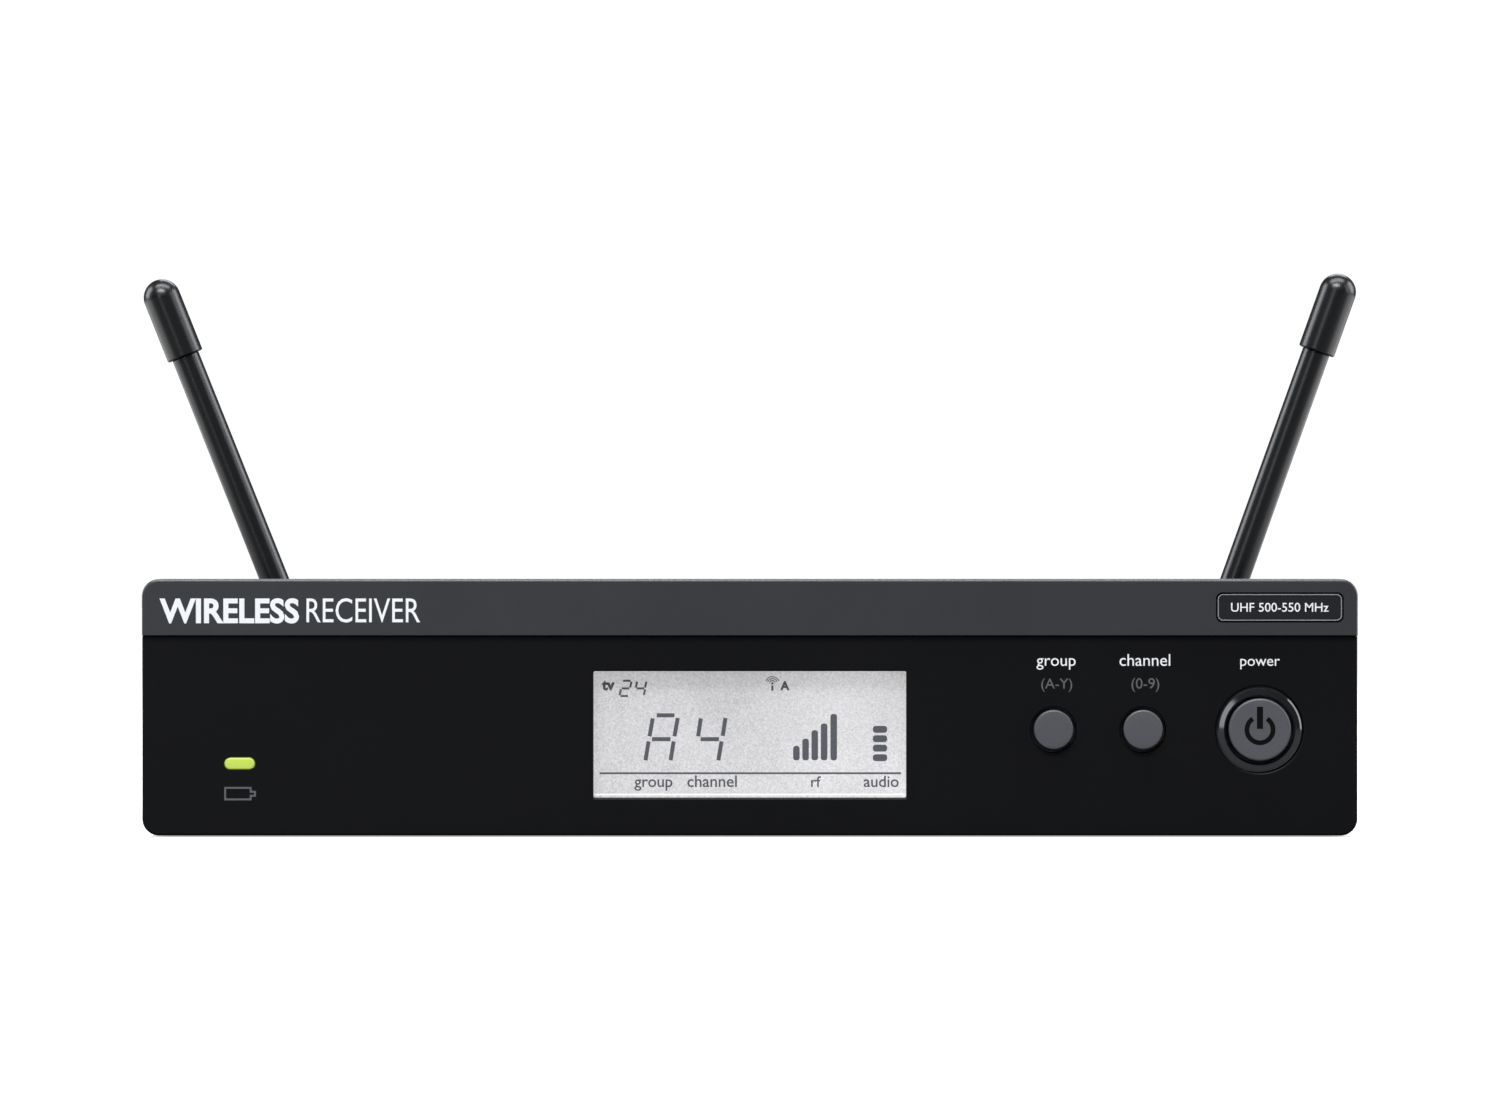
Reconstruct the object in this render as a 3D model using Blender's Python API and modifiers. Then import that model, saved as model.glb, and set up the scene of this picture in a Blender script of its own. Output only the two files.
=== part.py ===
"""Half-rack wireless microphone receiver, as an assembly of separate parts.

Units are metres and +Z is up. The front faces -Y. Depths are measured backwards from the front
face of the trim band, and at() turns a depth into a Y coordinate. The origin is the middle of
the whole object's footprint, on the surface that the feet stand on.
"""

import math

import bmesh
import bpy
from mathutils import Matrix, Vector

# ---------------------------------------------------------------- driving dimensions
FASCIA_WIDTH = 0.197
FASCIA_HEIGHT = 0.0416
FASCIA_LIFT = 0.0003          # the fascia's lower edge clears the table by this much
FASCIA_CORNER = 0.0023
FASCIA_DEPTH = 0.016
BAND_HEIGHT = 0.0092          # the charcoal band across the top of the fascia
BAND_PROUD = 0.0008           # how far the band stands in front of the black panel
PANEL_DEPTH = 0.122           # outer face of the rear panel
POWER_PROUD = 0.0006          # the power button is the foremost point
OVERALL_DEPTH = 0.1486        # from the power button to the back of the antenna knuckles
SHEET = 0.001                 # steel sheet of the chassis
GAP = 0.0003                  # between pieces that rest on each other
SEAM = 0.0002                 # visible seam between mouldings

FOOT_HEIGHT = 0.0012
COVER_WIDTH = 0.196
COVER_TOP = 0.0413
UNDERSIDE = FOOT_HEIGHT + GAP

WINDOW_WIDTH = 0.0507
WINDOW_HEIGHT = 0.0205
WINDOW_Z = 0.0167

BUTTON_Z = 0.0175
SMALL_BUTTONS = {"group": 0.0492, "channel": 0.0637}
SMALL_BUTTON_RADIUS = 0.0033
POWER_X = 0.0826
POWER_RADIUS = 0.00505
LIGHT_X, LIGHT_Z = -0.0827, 0.0120
LIGHT_WIDTH, LIGHT_HEIGHT = 0.0051, 0.0020
BADGE_X, BADGE_Z = 0.08585, 0.0373
BADGE_WIDTH, BADGE_HEIGHT = 0.0201, 0.0043

# Antennas: each rod leans outwards from the axis of its own connector.
CONNECTOR_Z = 0.0198
TIP_X = 0.10375               # both rounded tips reach this far from the middle
ROD_REACH = 0.0769            # from the fold pin to the centre of the rounded tip
LEANS = {"left": -21.72, "right": 19.68}
FOLD_DEPTH = PANEL_DEPTH + 0.022
ROD_RADIUS = 0.00245
CAP_RADIUS = 0.00326
CAP_LENGTH = 0.0113           # its straight part, below the rounded tip

XLR_X, XLR_Z = 0.022, 0.0208
PHONE_X, PHONE_Z = -0.010, 0.0198
VOLUME_X, VOLUME_Z = -0.036, 0.0198
POWER_JACK_X, POWER_JACK_Z = 0.046, 0.0150
TIE_X, TIE_Z = 0.0600, 0.0300

BOARD_TOP = 0.0081
BOARD_THICKNESS = 0.0016

FINE, COARSE = 32, 20         # sides of a round piece that shows, and of a small or hidden one


def at(depth):
    """The Y coordinate of a depth behind the front face."""
    return depth + POWER_PROUD - OVERALL_DEPTH / 2


def connector_x(side):
    """Where a connector sits, so that its leaning antenna's tip reaches TIP_X."""
    lean = math.radians(LEANS[side])
    return math.copysign(TIP_X, lean) - ROD_REACH * math.sin(lean)


# ---------------------------------------------------------------- materials
FINISHES = {
    # name: (colour, roughness, metallic)
    "black_abs": ((0.010, 0.010, 0.011), 0.38, 0.0),
    "charcoal_abs": ((0.050, 0.051, 0.057), 0.45, 0.0),
    "black_sheet": ((0.018, 0.018, 0.019), 0.55, 0.0),
    "button_grey": ((0.095, 0.097, 0.107), 0.50, 0.0),
    "ring_black": ((0.012, 0.012, 0.013), 0.15, 0.0),
    "badge_dark": ((0.025, 0.025, 0.029), 0.35, 0.0),
    "clear_window": ((0.85, 0.85, 0.86), 0.08, 0.0),
    "lit_green": ((0.58, 0.72, 0.13), 0.30, 0.0),
    "display_grey": ((0.63, 0.62, 0.64), 0.40, 0.0),
    "diffuser_white": ((0.80, 0.80, 0.82), 0.50, 0.0),
    "rubber": ((0.015, 0.015, 0.015), 0.80, 0.0),
    "antenna_rubber": ((0.022, 0.023, 0.025), 0.42, 0.0),
    "connector_nickel": ((0.62, 0.61, 0.58), 0.28, 1.0),
    "connector_black": ((0.012, 0.012, 0.012), 0.45, 0.0),
    "contact_gold": ((0.80, 0.60, 0.25), 0.25, 1.0),
    "screw_black": ((0.03, 0.03, 0.03), 0.35, 1.0),
    "board_green": ((0.02, 0.12, 0.05), 0.50, 0.0),
    "can_tin": ((0.60, 0.60, 0.60), 0.30, 1.0),
    "switch_black": ((0.02, 0.02, 0.02), 0.50, 0.0),
    "lead_grey": ((0.25, 0.25, 0.26), 0.55, 0.0),
}


def material(name):
    found = bpy.data.materials.get(name)
    if found:
        return found
    colour, roughness, metallic = FINISHES[name]
    made = bpy.data.materials.new(name)
    made.use_nodes = True
    shader = made.node_tree.nodes["Principled BSDF"]
    shader.inputs["Base Color"].default_value = (*colour, 1.0)
    shader.inputs["Roughness"].default_value = roughness
    shader.inputs["Metallic"].default_value = metallic
    return made


# ---------------------------------------------------------------- scene and helpers
def clear_scene():
    for old in list(bpy.data.objects):
        bpy.data.objects.remove(old)


def collection(name):
    made = bpy.data.collections.new(name)
    bpy.context.scene.collection.children.link(made)
    return made


def add(name, mesh, finish=None, parent=None):
    """A part if it has a finish, and otherwise a cutter or a shape to be joined."""
    obj = bpy.data.objects.new(name, mesh)
    if finish:
        PARTS.objects.link(obj)
        mesh.materials.append(material(finish))
    else:
        CUTTERS.objects.link(obj)
        obj.hide_render = True
        obj.display_type = "WIRE"
    if parent:
        obj.parent = parent
    return obj


def mesh_from(name, bm):
    bmesh.ops.recalc_face_normals(bm, faces=bm.faces[:])
    mesh = bpy.data.meshes.new(name)
    bm.to_mesh(mesh)
    bm.free()
    return mesh


def smooth(mesh):
    mesh.shade_smooth()
    mesh.set_sharp_from_angle(angle=math.radians(35))


def block(name, xs, depths, zs, finish=None, radius=0.0, along="y", steps=4, parent=None):
    """A box between two X values, two depths and two heights. radius rounds the edges along an axis."""
    ys = (depths[0], depths[1]) if parent else (at(depths[0]), at(depths[1]))
    low, high = Vector((xs[0], ys[0], zs[0])), Vector((xs[1], ys[1], zs[1]))
    bm = bmesh.new()
    bmesh.ops.create_cube(bm, size=1.0)
    size = high - low
    bmesh.ops.scale(bm, vec=size, verts=bm.verts[:])
    bmesh.ops.translate(bm, vec=(low + high) / 2, verts=bm.verts[:])
    if radius:
        axis = "xyz".index(along)
        edges = [
            e
            for e in bm.edges
            if abs((e.verts[0].co - e.verts[1].co)[axis]) > 0.9 * size[axis]
        ]
        bmesh.ops.bevel(bm, geom=edges, offset=radius, segments=steps, profile=0.5, affect="EDGES")
    return add(name, mesh_from(name, bm), finish, parent)


def rod(name, x, z, depths, radius, finish=None, tip_radius=None, sides=COARSE, parent=None):
    """A cylinder or cone along Y, with its larger depth's radius given by tip_radius if it differs."""
    ys = (depths[0], depths[1]) if parent else (at(depths[0]), at(depths[1]))
    bm = bmesh.new()
    place = Matrix.Translation((x, sum(ys) / 2, z)) @ Matrix.Rotation(-math.pi / 2, 4, "X")
    bmesh.ops.create_cone(
        bm,
        cap_ends=True,
        segments=sides,
        radius1=radius,
        radius2=radius if tip_radius is None else tip_radius,
        depth=ys[1] - ys[0],
        matrix=place,
    )
    mesh = mesh_from(name, bm)
    smooth(mesh)
    return add(name, mesh, finish, parent)


def turned(name, profile, finish, place, closed=False, sides=FINE, parent=None):
    """A shape turned about its local Z axis. The profile runs down its outer side, top to bottom."""
    mesh = bpy.data.meshes.new(name)
    points = [(radius, 0.0, height) for radius, height in profile]
    edges = [(i, i + 1) for i in range(len(points) - 1)]
    if closed:
        edges.append((len(points) - 1, 0))
    mesh.from_pydata(points, edges, [])
    obj = add(name, mesh, finish, parent)
    obj.matrix_local = place
    screw = obj.modifiers.new("Turn", "SCREW")
    screw.steps = screw.render_steps = sides
    screw.use_merge_vertices = True
    screw.merge_threshold = 0.00001
    screw.use_smooth_shade = True
    return obj


def along_y(x, depth, z, parent=None):
    """Places a turned shape with its local Z pointing backwards and its zero at a depth."""
    y = depth if parent else at(depth)
    return Matrix.Translation((x, y, z)) @ Matrix.Rotation(-math.pi / 2, 4, "X")


def boolean(obj, other, operation):
    modifier = obj.modifiers.new(other.name, "BOOLEAN")
    modifier.operation = operation
    modifier.object = other
    return obj


def cut(obj, *cutters):
    for cutter in cutters:
        boolean(obj, cutter, "DIFFERENCE")
    return obj


def join(obj, *others):
    for other in others:
        boolean(obj, other, "UNION")
    return obj


def empty(name, place, parent=None):
    obj = bpy.data.objects.new(name, None)
    PARTS.objects.link(obj)
    obj.parent = parent
    obj.matrix_local = place
    return obj


# ---------------------------------------------------------------- fascia
HALF = FASCIA_WIDTH / 2
FASCIA_TOP = FASCIA_LIFT + FASCIA_HEIGHT
BAND_BOTTOM = FASCIA_TOP - BAND_HEIGHT
BAND_WALL = 0.0018
BEZEL_WALL = 0.0022
BEZEL_FACE = (BAND_PROUD, BAND_PROUD + 0.0025)
DISPLAY_BOARD = (0.0096, 0.0112)
DISPLAY_BOARD_Z = (0.0042, 0.0360)


def screw_boss(side, z):
    """A post behind the fascia that a chassis screw bites into."""
    x = side * (HALF - 0.0072)
    post = rod(f"boss_{side}_{z}", x, z, (BEZEL_FACE[1] - 0.0005, FASCIA_DEPTH), 0.0024)
    pilot = rod(f"boss_pilot_{side}_{z}", x, z, (0.008, FASCIA_DEPTH + 0.001), 0.0011, sides=12)
    return post, pilot


def make_front_bezel():
    """The black moulding: a shell that is open at the back, with a tongue that fills the band."""
    bezel = block(
        "front_bezel",
        (-HALF + SEAM / 2, HALF - SEAM / 2),
        (BEZEL_FACE[0], FASCIA_DEPTH),
        (FASCIA_LIFT, BAND_BOTTOM + 0.003),
        "black_abs",
    )
    corners = block(
        "bezel_outline",
        (-HALF + SEAM / 2, HALF - SEAM / 2),
        (-0.01, FASCIA_DEPTH + 0.01),
        (FASCIA_LIFT, FASCIA_TOP + 0.02),
        radius=FASCIA_CORNER,
    )
    boolean(bezel, corners, "INTERSECT")
    above = block(
        "bezel_upper_trim",
        (-HALF - 0.01, HALF + 0.01),
        (-0.01, FASCIA_DEPTH + 0.01),
        (BAND_BOTTOM - SEAM, FASCIA_TOP + 0.01),
    )
    tongue_top = FASCIA_TOP - BAND_WALL - SEAM
    tongue = block(
        "bezel_tongue",
        (-HALF + BAND_WALL + SEAM, HALF - BAND_WALL - SEAM),
        (BAND_WALL + SEAM, FASCIA_DEPTH),
        (BAND_BOTTOM - 0.004, tongue_top),
    )
    inside = block(
        "bezel_inside",
        (-HALF + 0.0042, HALF - 0.0042),
        (BEZEL_FACE[1], FASCIA_DEPTH + 0.01),
        (FASCIA_LIFT + BEZEL_WALL, tongue_top - BEZEL_WALL),
    )
    cut(bezel, above)
    join(bezel, tongue)
    cut(bezel, inside)
    heights = (FASCIA_LIFT + BEZEL_WALL + 0.0028, tongue_top - BEZEL_WALL - 0.0028)
    for side in (-1, 1):
        for z in heights:
            post, pilot = screw_boss(side, z)
            join(bezel, post)
            cut(bezel, pilot)
        for z in (DISPLAY_BOARD_Z[0] + 0.0018, DISPLAY_BOARD_Z[1] - 0.0040):
            stop = (BEZEL_FACE[1] - 0.0005, DISPLAY_BOARD[0] - GAP)
            join(bezel, rod(f"board_stop_{side}_{z}", side * 0.0845, z, stop, 0.0015, sides=12))
    wall = (BEZEL_FACE[0] - 0.002, BEZEL_FACE[1] + 0.002)
    cut(
        bezel,
        block(
            "window_hole",
            (-WINDOW_WIDTH / 2, WINDOW_WIDTH / 2),
            wall,
            (WINDOW_Z - WINDOW_HEIGHT / 2, WINDOW_Z + WINDOW_HEIGHT / 2),
        ),
        rod("power_hole", POWER_X, BUTTON_Z, wall, 0.0070, sides=40),
        block(
            "light_hole",
            (LIGHT_X - LIGHT_WIDTH / 2 - 0.00015, LIGHT_X + LIGHT_WIDTH / 2 + 0.00015),
            wall,
            (LIGHT_Z - LIGHT_HEIGHT / 2 - 0.00015, LIGHT_Z + LIGHT_HEIGHT / 2 + 0.00015),
            radius=0.00112,
        ),
    )
    for name, x in SMALL_BUTTONS.items():
        cut(bezel, rod(f"{name}_hole", x, BUTTON_Z, wall, 0.0038, sides=28))


def make_top_trim_band():
    """The charcoal cap over the fascia's top edge and both upper corners, open below and behind."""
    band = block(
        "top_trim_band",
        (-HALF, HALF),
        (0.0, FASCIA_DEPTH),
        (FASCIA_TOP - 2 * BAND_HEIGHT, FASCIA_TOP),
        "charcoal_abs",
        radius=FASCIA_CORNER,
        steps=6,
    )
    below = block(
        "band_below",
        (-HALF - 0.01, HALF + 0.01),
        (-0.01, FASCIA_DEPTH + 0.01),
        (FASCIA_TOP - 3 * BAND_HEIGHT, BAND_BOTTOM),
    )
    inside = block(
        "band_inside",
        (-HALF + BAND_WALL, HALF - BAND_WALL),
        (BAND_WALL, FASCIA_DEPTH + 0.01),
        (BAND_BOTTOM - 0.01, FASCIA_TOP - BAND_WALL),
    )
    pocket = block(
        "badge_pocket",
        (BADGE_X - BADGE_WIDTH / 2 - SEAM, BADGE_X + BADGE_WIDTH / 2 + SEAM),
        (-0.001, 0.0007),
        (BADGE_Z - BADGE_HEIGHT / 2 - SEAM, BADGE_Z + BADGE_HEIGHT / 2 + SEAM),
        radius=0.0009,
    )
    cut(band, below, inside, pocket)


def make_frequency_badge():
    block(
        "frequency_badge",
        (BADGE_X - BADGE_WIDTH / 2, BADGE_X + BADGE_WIDTH / 2),
        (0.0001, 0.0005),
        (BADGE_Z - BADGE_HEIGHT / 2, BADGE_Z + BADGE_HEIGHT / 2),
        "badge_dark",
        radius=0.0008,
    )


def make_display_window():
    clear = 0.00015
    block(
        "display_window",
        (-WINDOW_WIDTH / 2 + clear, WINDOW_WIDTH / 2 - clear),
        (BEZEL_FACE[0] + 0.0006, BEZEL_FACE[1] - 0.0003),
        (WINDOW_Z - WINDOW_HEIGHT / 2 + clear, WINDOW_Z + WINDOW_HEIGHT / 2 - clear),
        "clear_window",
    )


def make_battery_light_pipe():
    block(
        "battery_light_pipe",
        (LIGHT_X - LIGHT_WIDTH / 2, LIGHT_X + LIGHT_WIDTH / 2),
        (BEZEL_FACE[0] - 0.0001, 0.0090),
        (LIGHT_Z - LIGHT_HEIGHT / 2, LIGHT_Z + LIGHT_HEIGHT / 2),
        "lit_green",
        radius=0.00098,
    )


# ---------------------------------------------------------------- buttons
SWITCH_FRONT = 0.0058


def make_button(name, x, radius, front, flange_radius, flange):
    """A cap with a flange that keeps it behind the fascia, and the stem that enters its switch."""
    height = 0.0085
    edge = 0.0004
    profile = [
        (0.0, front),
        (radius - edge, front),
        (radius, front + edge),
        (radius, flange[0]),
        (flange_radius, flange[0]),
        (flange_radius, flange[1]),
        (0.0014, flange[1]),
        (0.0014, height - 0.0011),
        (0.0, height - 0.0011),
    ]
    # The profile is given from the front backwards, so local Z points forwards.
    flipped = [(r, -d) for r, d in profile]
    place = Matrix.Translation((x, at(0.0), BUTTON_Z)) @ Matrix.Rotation(math.pi / 2, 4, "X")
    turned(f"{name}_button", flipped, "button_grey", place, sides=FINE)
    half = 0.003
    switch = block(
        f"{name}_switch",
        (x - half, x + half),
        (SWITCH_FRONT, DISPLAY_BOARD[0] - GAP),
        (BUTTON_Z - half, BUTTON_Z + half),
        "switch_black",
    )
    well = rod(f"{name}_well", x, BUTTON_Z, (SWITCH_FRONT - 0.001, 0.0088), 0.0017, sides=16)
    cut(switch, well)


def make_buttons():
    for name, x in SMALL_BUTTONS.items():
        make_button(name, x, SMALL_BUTTON_RADIUS, -0.0004, 0.0045, (0.0036, 0.0044))
    make_button("power", POWER_X, POWER_RADIUS, -POWER_PROUD, 0.0062, (0.0044, 0.0050))


def make_power_ring():
    """A dished ring round the power button, with a flange behind the fascia."""
    front, back = BEZEL_FACE[0] - 0.0003, BEZEL_FACE[1] + GAP
    profile = [
        (0.00655, front),
        (0.00680, front + 0.0002),
        (0.00680, back),
        (0.00790, back),
        (0.00790, back + 0.0005),
        (0.00550, back + 0.0005),
        (0.00550, front + 0.0012),
        (0.00640, front + 0.0002),
    ]
    flipped = [(r, -d) for r, d in profile]
    place = Matrix.Translation((POWER_X, at(0.0), BUTTON_Z)) @ Matrix.Rotation(math.pi / 2, 4, "X")
    turned("power_ring", flipped, "ring_black", place, closed=True, sides=40)


# ---------------------------------------------------------------- display and boards
def make_display():
    half_width, low, high = 0.029, WINDOW_Z - 0.0125, WINDOW_Z + 0.0125
    xs = (-half_width, half_width)
    block("lcd_panel", xs, (0.0036, 0.0054), (low, high), "display_grey")
    block("lcd_backlight", xs, (0.0057, 0.0092), (low, high), "diffuser_white")
    block("display_board", (-0.0868, 0.0868), DISPLAY_BOARD, DISPLAY_BOARD_Z, "board_green")


def make_main_board():
    block(
        "main_board",
        (-0.082, 0.082),
        (0.022, 0.117),
        (BOARD_TOP - BOARD_THICKNESS, BOARD_TOP),
        "board_green",
        radius=0.002,
        along="z",
        steps=3,
    )
    block(
        "rf_shield_can",
        (-0.034, 0.034),
        (0.034, 0.078),
        (BOARD_TOP + GAP, BOARD_TOP + 0.0085),
        "can_tin",
        radius=0.0015,
        along="z",
        steps=2,
    )


def make_ribbon_cable():
    """A flat cable that drops behind the display board and runs through the chassis to the main board."""
    start, end = Vector((0, at(0.0117), 0.0110)), Vector((0, at(0.0260), BOARD_TOP + 0.0006))
    bend_a, bend_b = Vector((0, at(0.0150), 0.0105)), Vector((0, at(0.0190), BOARD_TOP + 0.0006))
    count = 9
    half_width = 0.009
    bm = bmesh.new()
    rows = []
    for i in range(count):
        t = i / (count - 1)
        p = (
            start * (1 - t) ** 3
            + bend_a * 3 * t * (1 - t) ** 2
            + bend_b * 3 * t * t * (1 - t)
            + end * t**3
        )
        rows.append([bm.verts.new(p + Vector((x, 0, 0))) for x in (-half_width, half_width)])
    for (a, b), (c, d) in zip(rows, rows[1:]):
        bm.faces.new((a, b, d, c))
    obj = add("ribbon_cable", mesh_from("ribbon_cable", bm), "lead_grey")
    solid = obj.modifiers.new("Thickness", "SOLIDIFY")
    solid.thickness = 0.0004
    solid.offset = 0.0


# ---------------------------------------------------------------- chassis
COVER_HALF = COVER_WIDTH / 2
TRAY_HALF = COVER_HALF - SHEET - GAP
CHASSIS_FRONT = FASCIA_DEPTH + GAP
LIP_HEIGHT = 0.010
SIDE_SCREW_DEPTHS = (0.030, 0.108)
SIDE_SCREW_Z = UNDERSIDE + SHEET + 0.0055
SCREW_HEAD = 0.0029
BOARD_STUD_DEPTHS = (0.028, 0.090)


def side_cone(name, side, depth, radii, proud, reach):
    """A cutter along X that starts outside the cover's side and narrows inwards."""
    bm = bmesh.new()
    turn = Matrix.Rotation(side * -math.pi / 2, 4, "Y")
    middle = side * (COVER_HALF + proud - reach / 2)
    bmesh.ops.create_cone(
        bm,
        cap_ends=True,
        segments=16,
        radius1=radii[0],
        radius2=radii[1],
        depth=reach,
        matrix=Matrix.Translation((middle, at(depth), SIDE_SCREW_Z)) @ turn,
    )
    full_name = f"{name}_{side}_{depth}"
    return add(full_name, mesh_from(full_name, bm))


def board_stud(side, depth, floor):
    """A post on the tray's floor that carries the main board."""
    bm = bmesh.new()
    low, high = floor - 0.0005, BOARD_TOP - BOARD_THICKNESS - GAP
    bmesh.ops.create_cone(
        bm,
        cap_ends=True,
        segments=12,
        radius1=0.0025,
        radius2=0.0025,
        depth=high - low,
        matrix=Matrix.Translation((side * 0.0770, at(depth), (low + high) / 2)),
    )
    name = f"board_stud_{side}_{depth}"
    return add(name, mesh_from(name, bm))


def make_chassis_tray():
    """The folded tray: floor, a flange behind the fascia, and two low side lips."""
    floor = (UNDERSIDE, UNDERSIDE + SHEET)
    tray = block(
        "chassis_tray",
        (-TRAY_HALF, TRAY_HALF),
        (CHASSIS_FRONT, PANEL_DEPTH - SHEET - GAP),
        (floor[0], COVER_TOP - SHEET - GAP),
        "black_sheet",
        radius=0.0008,
        steps=2,
    )
    inside = block(
        "tray_inside",
        (-TRAY_HALF + SHEET, TRAY_HALF - SHEET),
        (CHASSIS_FRONT + SHEET, PANEL_DEPTH + 0.01),
        (floor[1], COVER_TOP + 0.01),
    )
    above_lips = block(
        "tray_above_lips",
        (-TRAY_HALF - 0.01, TRAY_HALF + 0.01),
        (CHASSIS_FRONT + SHEET, PANEL_DEPTH + 0.01),
        (floor[1] + LIP_HEIGHT, COVER_TOP + 0.01),
    )
    slot = block("ribbon_slot", (-0.0105, 0.0105), (0.010, 0.020), (0.0065, 0.0145))
    cut(tray, inside, above_lips, slot)
    for side in (-1, 1):
        for depth in SIDE_SCREW_DEPTHS:
            cut(tray, side_cone("tray_hole", side, depth, (0.0017, 0.0017), 0.001, 0.008))
        for depth in BOARD_STUD_DEPTHS:
            join(tray, board_stud(side, depth, floor[1]))


def make_top_cover():
    """The folded cover: a top and two sides, with countersunk holes for its screws."""
    cover = block(
        "top_cover",
        (-COVER_HALF, COVER_HALF),
        (CHASSIS_FRONT, PANEL_DEPTH),
        (UNDERSIDE - 0.01, COVER_TOP),
        "black_sheet",
        radius=0.0012,
        steps=3,
    )
    inside = block(
        "cover_inside",
        (-COVER_HALF + SHEET, COVER_HALF - SHEET),
        (CHASSIS_FRONT - 0.01, PANEL_DEPTH + 0.01),
        (UNDERSIDE - 0.02, COVER_TOP - SHEET),
    )
    below = block(
        "cover_below",
        (-COVER_HALF - 0.01, COVER_HALF + 0.01),
        (CHASSIS_FRONT - 0.02, PANEL_DEPTH + 0.02),
        (UNDERSIDE - 0.03, UNDERSIDE),
    )
    cut(cover, inside, below)
    wide = SCREW_HEAD + 0.0004
    for side in (-1, 1):
        for depth in SIDE_SCREW_DEPTHS:
            cut(cover, side_cone("cover_sink", side, depth, (wide, wide - 0.0031), 0.0002, 0.0034))


def make_cover_screws():
    """Countersunk screws through the cover's sides, their heads just below the surface."""
    names = {(-1, 0): "left_front", (-1, 1): "left_rear", (1, 0): "right_front", (1, 1): "right_rear"}
    sunk = 0.0001
    for (side, row), label in names.items():
        name = f"cover_screw_{label}"
        profile = [
            (0.0, -sunk),
            (SCREW_HEAD - 0.0003, -sunk),
            (0.00125, -sunk - 0.0018),
            (0.00125, -0.0065),
            (0.0, -0.0065),
        ]
        place = Matrix.Translation((side * COVER_HALF, at(SIDE_SCREW_DEPTHS[row]), SIDE_SCREW_Z))
        screw = turned(
            name,
            profile,
            "screw_black",
            place @ Matrix.Rotation(side * math.pi / 2, 4, "Y"),
            sides=16,
        )
        recess = 0.0009
        for number, turn in enumerate((45, 135)):
            bar = add(f"{name}_slot_{number}", bpy.data.meshes.new(f"{name}_slot_{number}"))
            bm = bmesh.new()
            bmesh.ops.create_cube(bm, size=1.0)
            bmesh.ops.scale(bm, vec=(0.0030, 0.0006, 2 * recess), verts=bm.verts[:])
            bm.to_mesh(bar.data)
            bm.free()
            bar.matrix_local = (
                place
                @ Matrix.Rotation(side * math.pi / 2, 4, "Y")
                @ Matrix.Rotation(math.radians(turn), 4, "Z")
            )
            cut(screw, bar)


REAR_WALL = (PANEL_DEPTH - SHEET, PANEL_DEPTH)


def make_rear_panel():
    """The flat rear plate, inside the cover, pierced for each connector and the volume shaft."""
    panel = block(
        "rear_panel",
        (-TRAY_HALF, TRAY_HALF),
        REAR_WALL,
        (UNDERSIDE, COVER_TOP - SHEET - GAP),
        "black_sheet",
    )
    through = (PANEL_DEPTH - 0.004, PANEL_DEPTH + 0.004)
    holes = [
        rod("xlr_cutout", XLR_X, XLR_Z, through, 0.0121, sides=FINE),
        rod("phone_cutout", PHONE_X, PHONE_Z, through, 0.0050, sides=24),
        rod("volume_cutout", VOLUME_X, VOLUME_Z, through, 0.0038, sides=24),
        rod("power_jack_cutout", POWER_JACK_X, POWER_JACK_Z, through, 0.0047, sides=24),
    ]
    holes += [
        rod(f"{side}_antenna_cutout", connector_x(side), CONNECTOR_Z, through, 0.0051, sides=24)
        for side in LEANS
    ]
    cut(panel, *holes)


def make_feet():
    for row, depth in {"front": 0.030, "rear": 0.106}.items():
        for side, x in {"left": -0.080, "right": 0.080}.items():
            profile = [
                (0.0, FOOT_HEIGHT),
                (0.0060, FOOT_HEIGHT),
                (0.0060, 0.0004),
                (0.0056, 0.0),
                (0.0, 0.0),
            ]
            place = Matrix.Translation((x, at(depth), 0.0))
            turned(f"foot_{row}_{side}", profile, "rubber", place, sides=24)


# ---------------------------------------------------------------- rear connectors
def make_xlr():
    """A three-pin output: a square flange, a round shell with a closed floor, and its pins."""
    flange_x, flange_z, flange_thick = 0.013, 0.0155, 0.0018
    shell = block(
        "xlr_shell",
        (XLR_X - flange_x, XLR_X + flange_x),
        (PANEL_DEPTH + GAP, PANEL_DEPTH + GAP + flange_thick),
        (XLR_Z - flange_z, XLR_Z + flange_z),
        "connector_black",
        radius=0.003,
    )
    barrel = rod("xlr_barrel", XLR_X, XLR_Z, (PANEL_DEPTH - 0.0165, PANEL_DEPTH + 0.001), 0.0117, sides=FINE)
    bore = rod("xlr_bore", XLR_X, XLR_Z, (PANEL_DEPTH - 0.0135, PANEL_DEPTH + 0.004), 0.0094, sides=FINE)
    join(shell, barrel)
    cut(shell, bore)
    pin_circle, pin_radius = 0.0038, 0.0012
    for number, turn in enumerate((180, 0, 270), start=1):
        x = XLR_X + pin_circle * math.cos(math.radians(turn))
        z = XLR_Z + pin_circle * math.sin(math.radians(turn))
        socket = rod(f"xlr_pin_seat_{number}", x, z, (PANEL_DEPTH - 0.020, PANEL_DEPTH - 0.010), 0.0013, sides=16)
        cut(shell, socket)
        profile = [
            (0.0, 0.0120),
            (0.0007, 0.0117),
            (pin_radius, 0.0108),
            (pin_radius, -0.0060),
            (0.0, -0.0060),
        ]
        turned(f"xlr_pin_{number}", profile, "contact_gold", along_y(x, PANEL_DEPTH - 0.0135, z), sides=16)
    for number, side in enumerate((-1, 1)):
        hole = rod(
            f"xlr_fixing_{number}",
            XLR_X + side * 0.0095,
            XLR_Z + side * 0.0120,
            (PANEL_DEPTH - 0.002, PANEL_DEPTH + 0.004),
            0.0016,
            sides=12,
        )
        cut(shell, hole)


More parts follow.
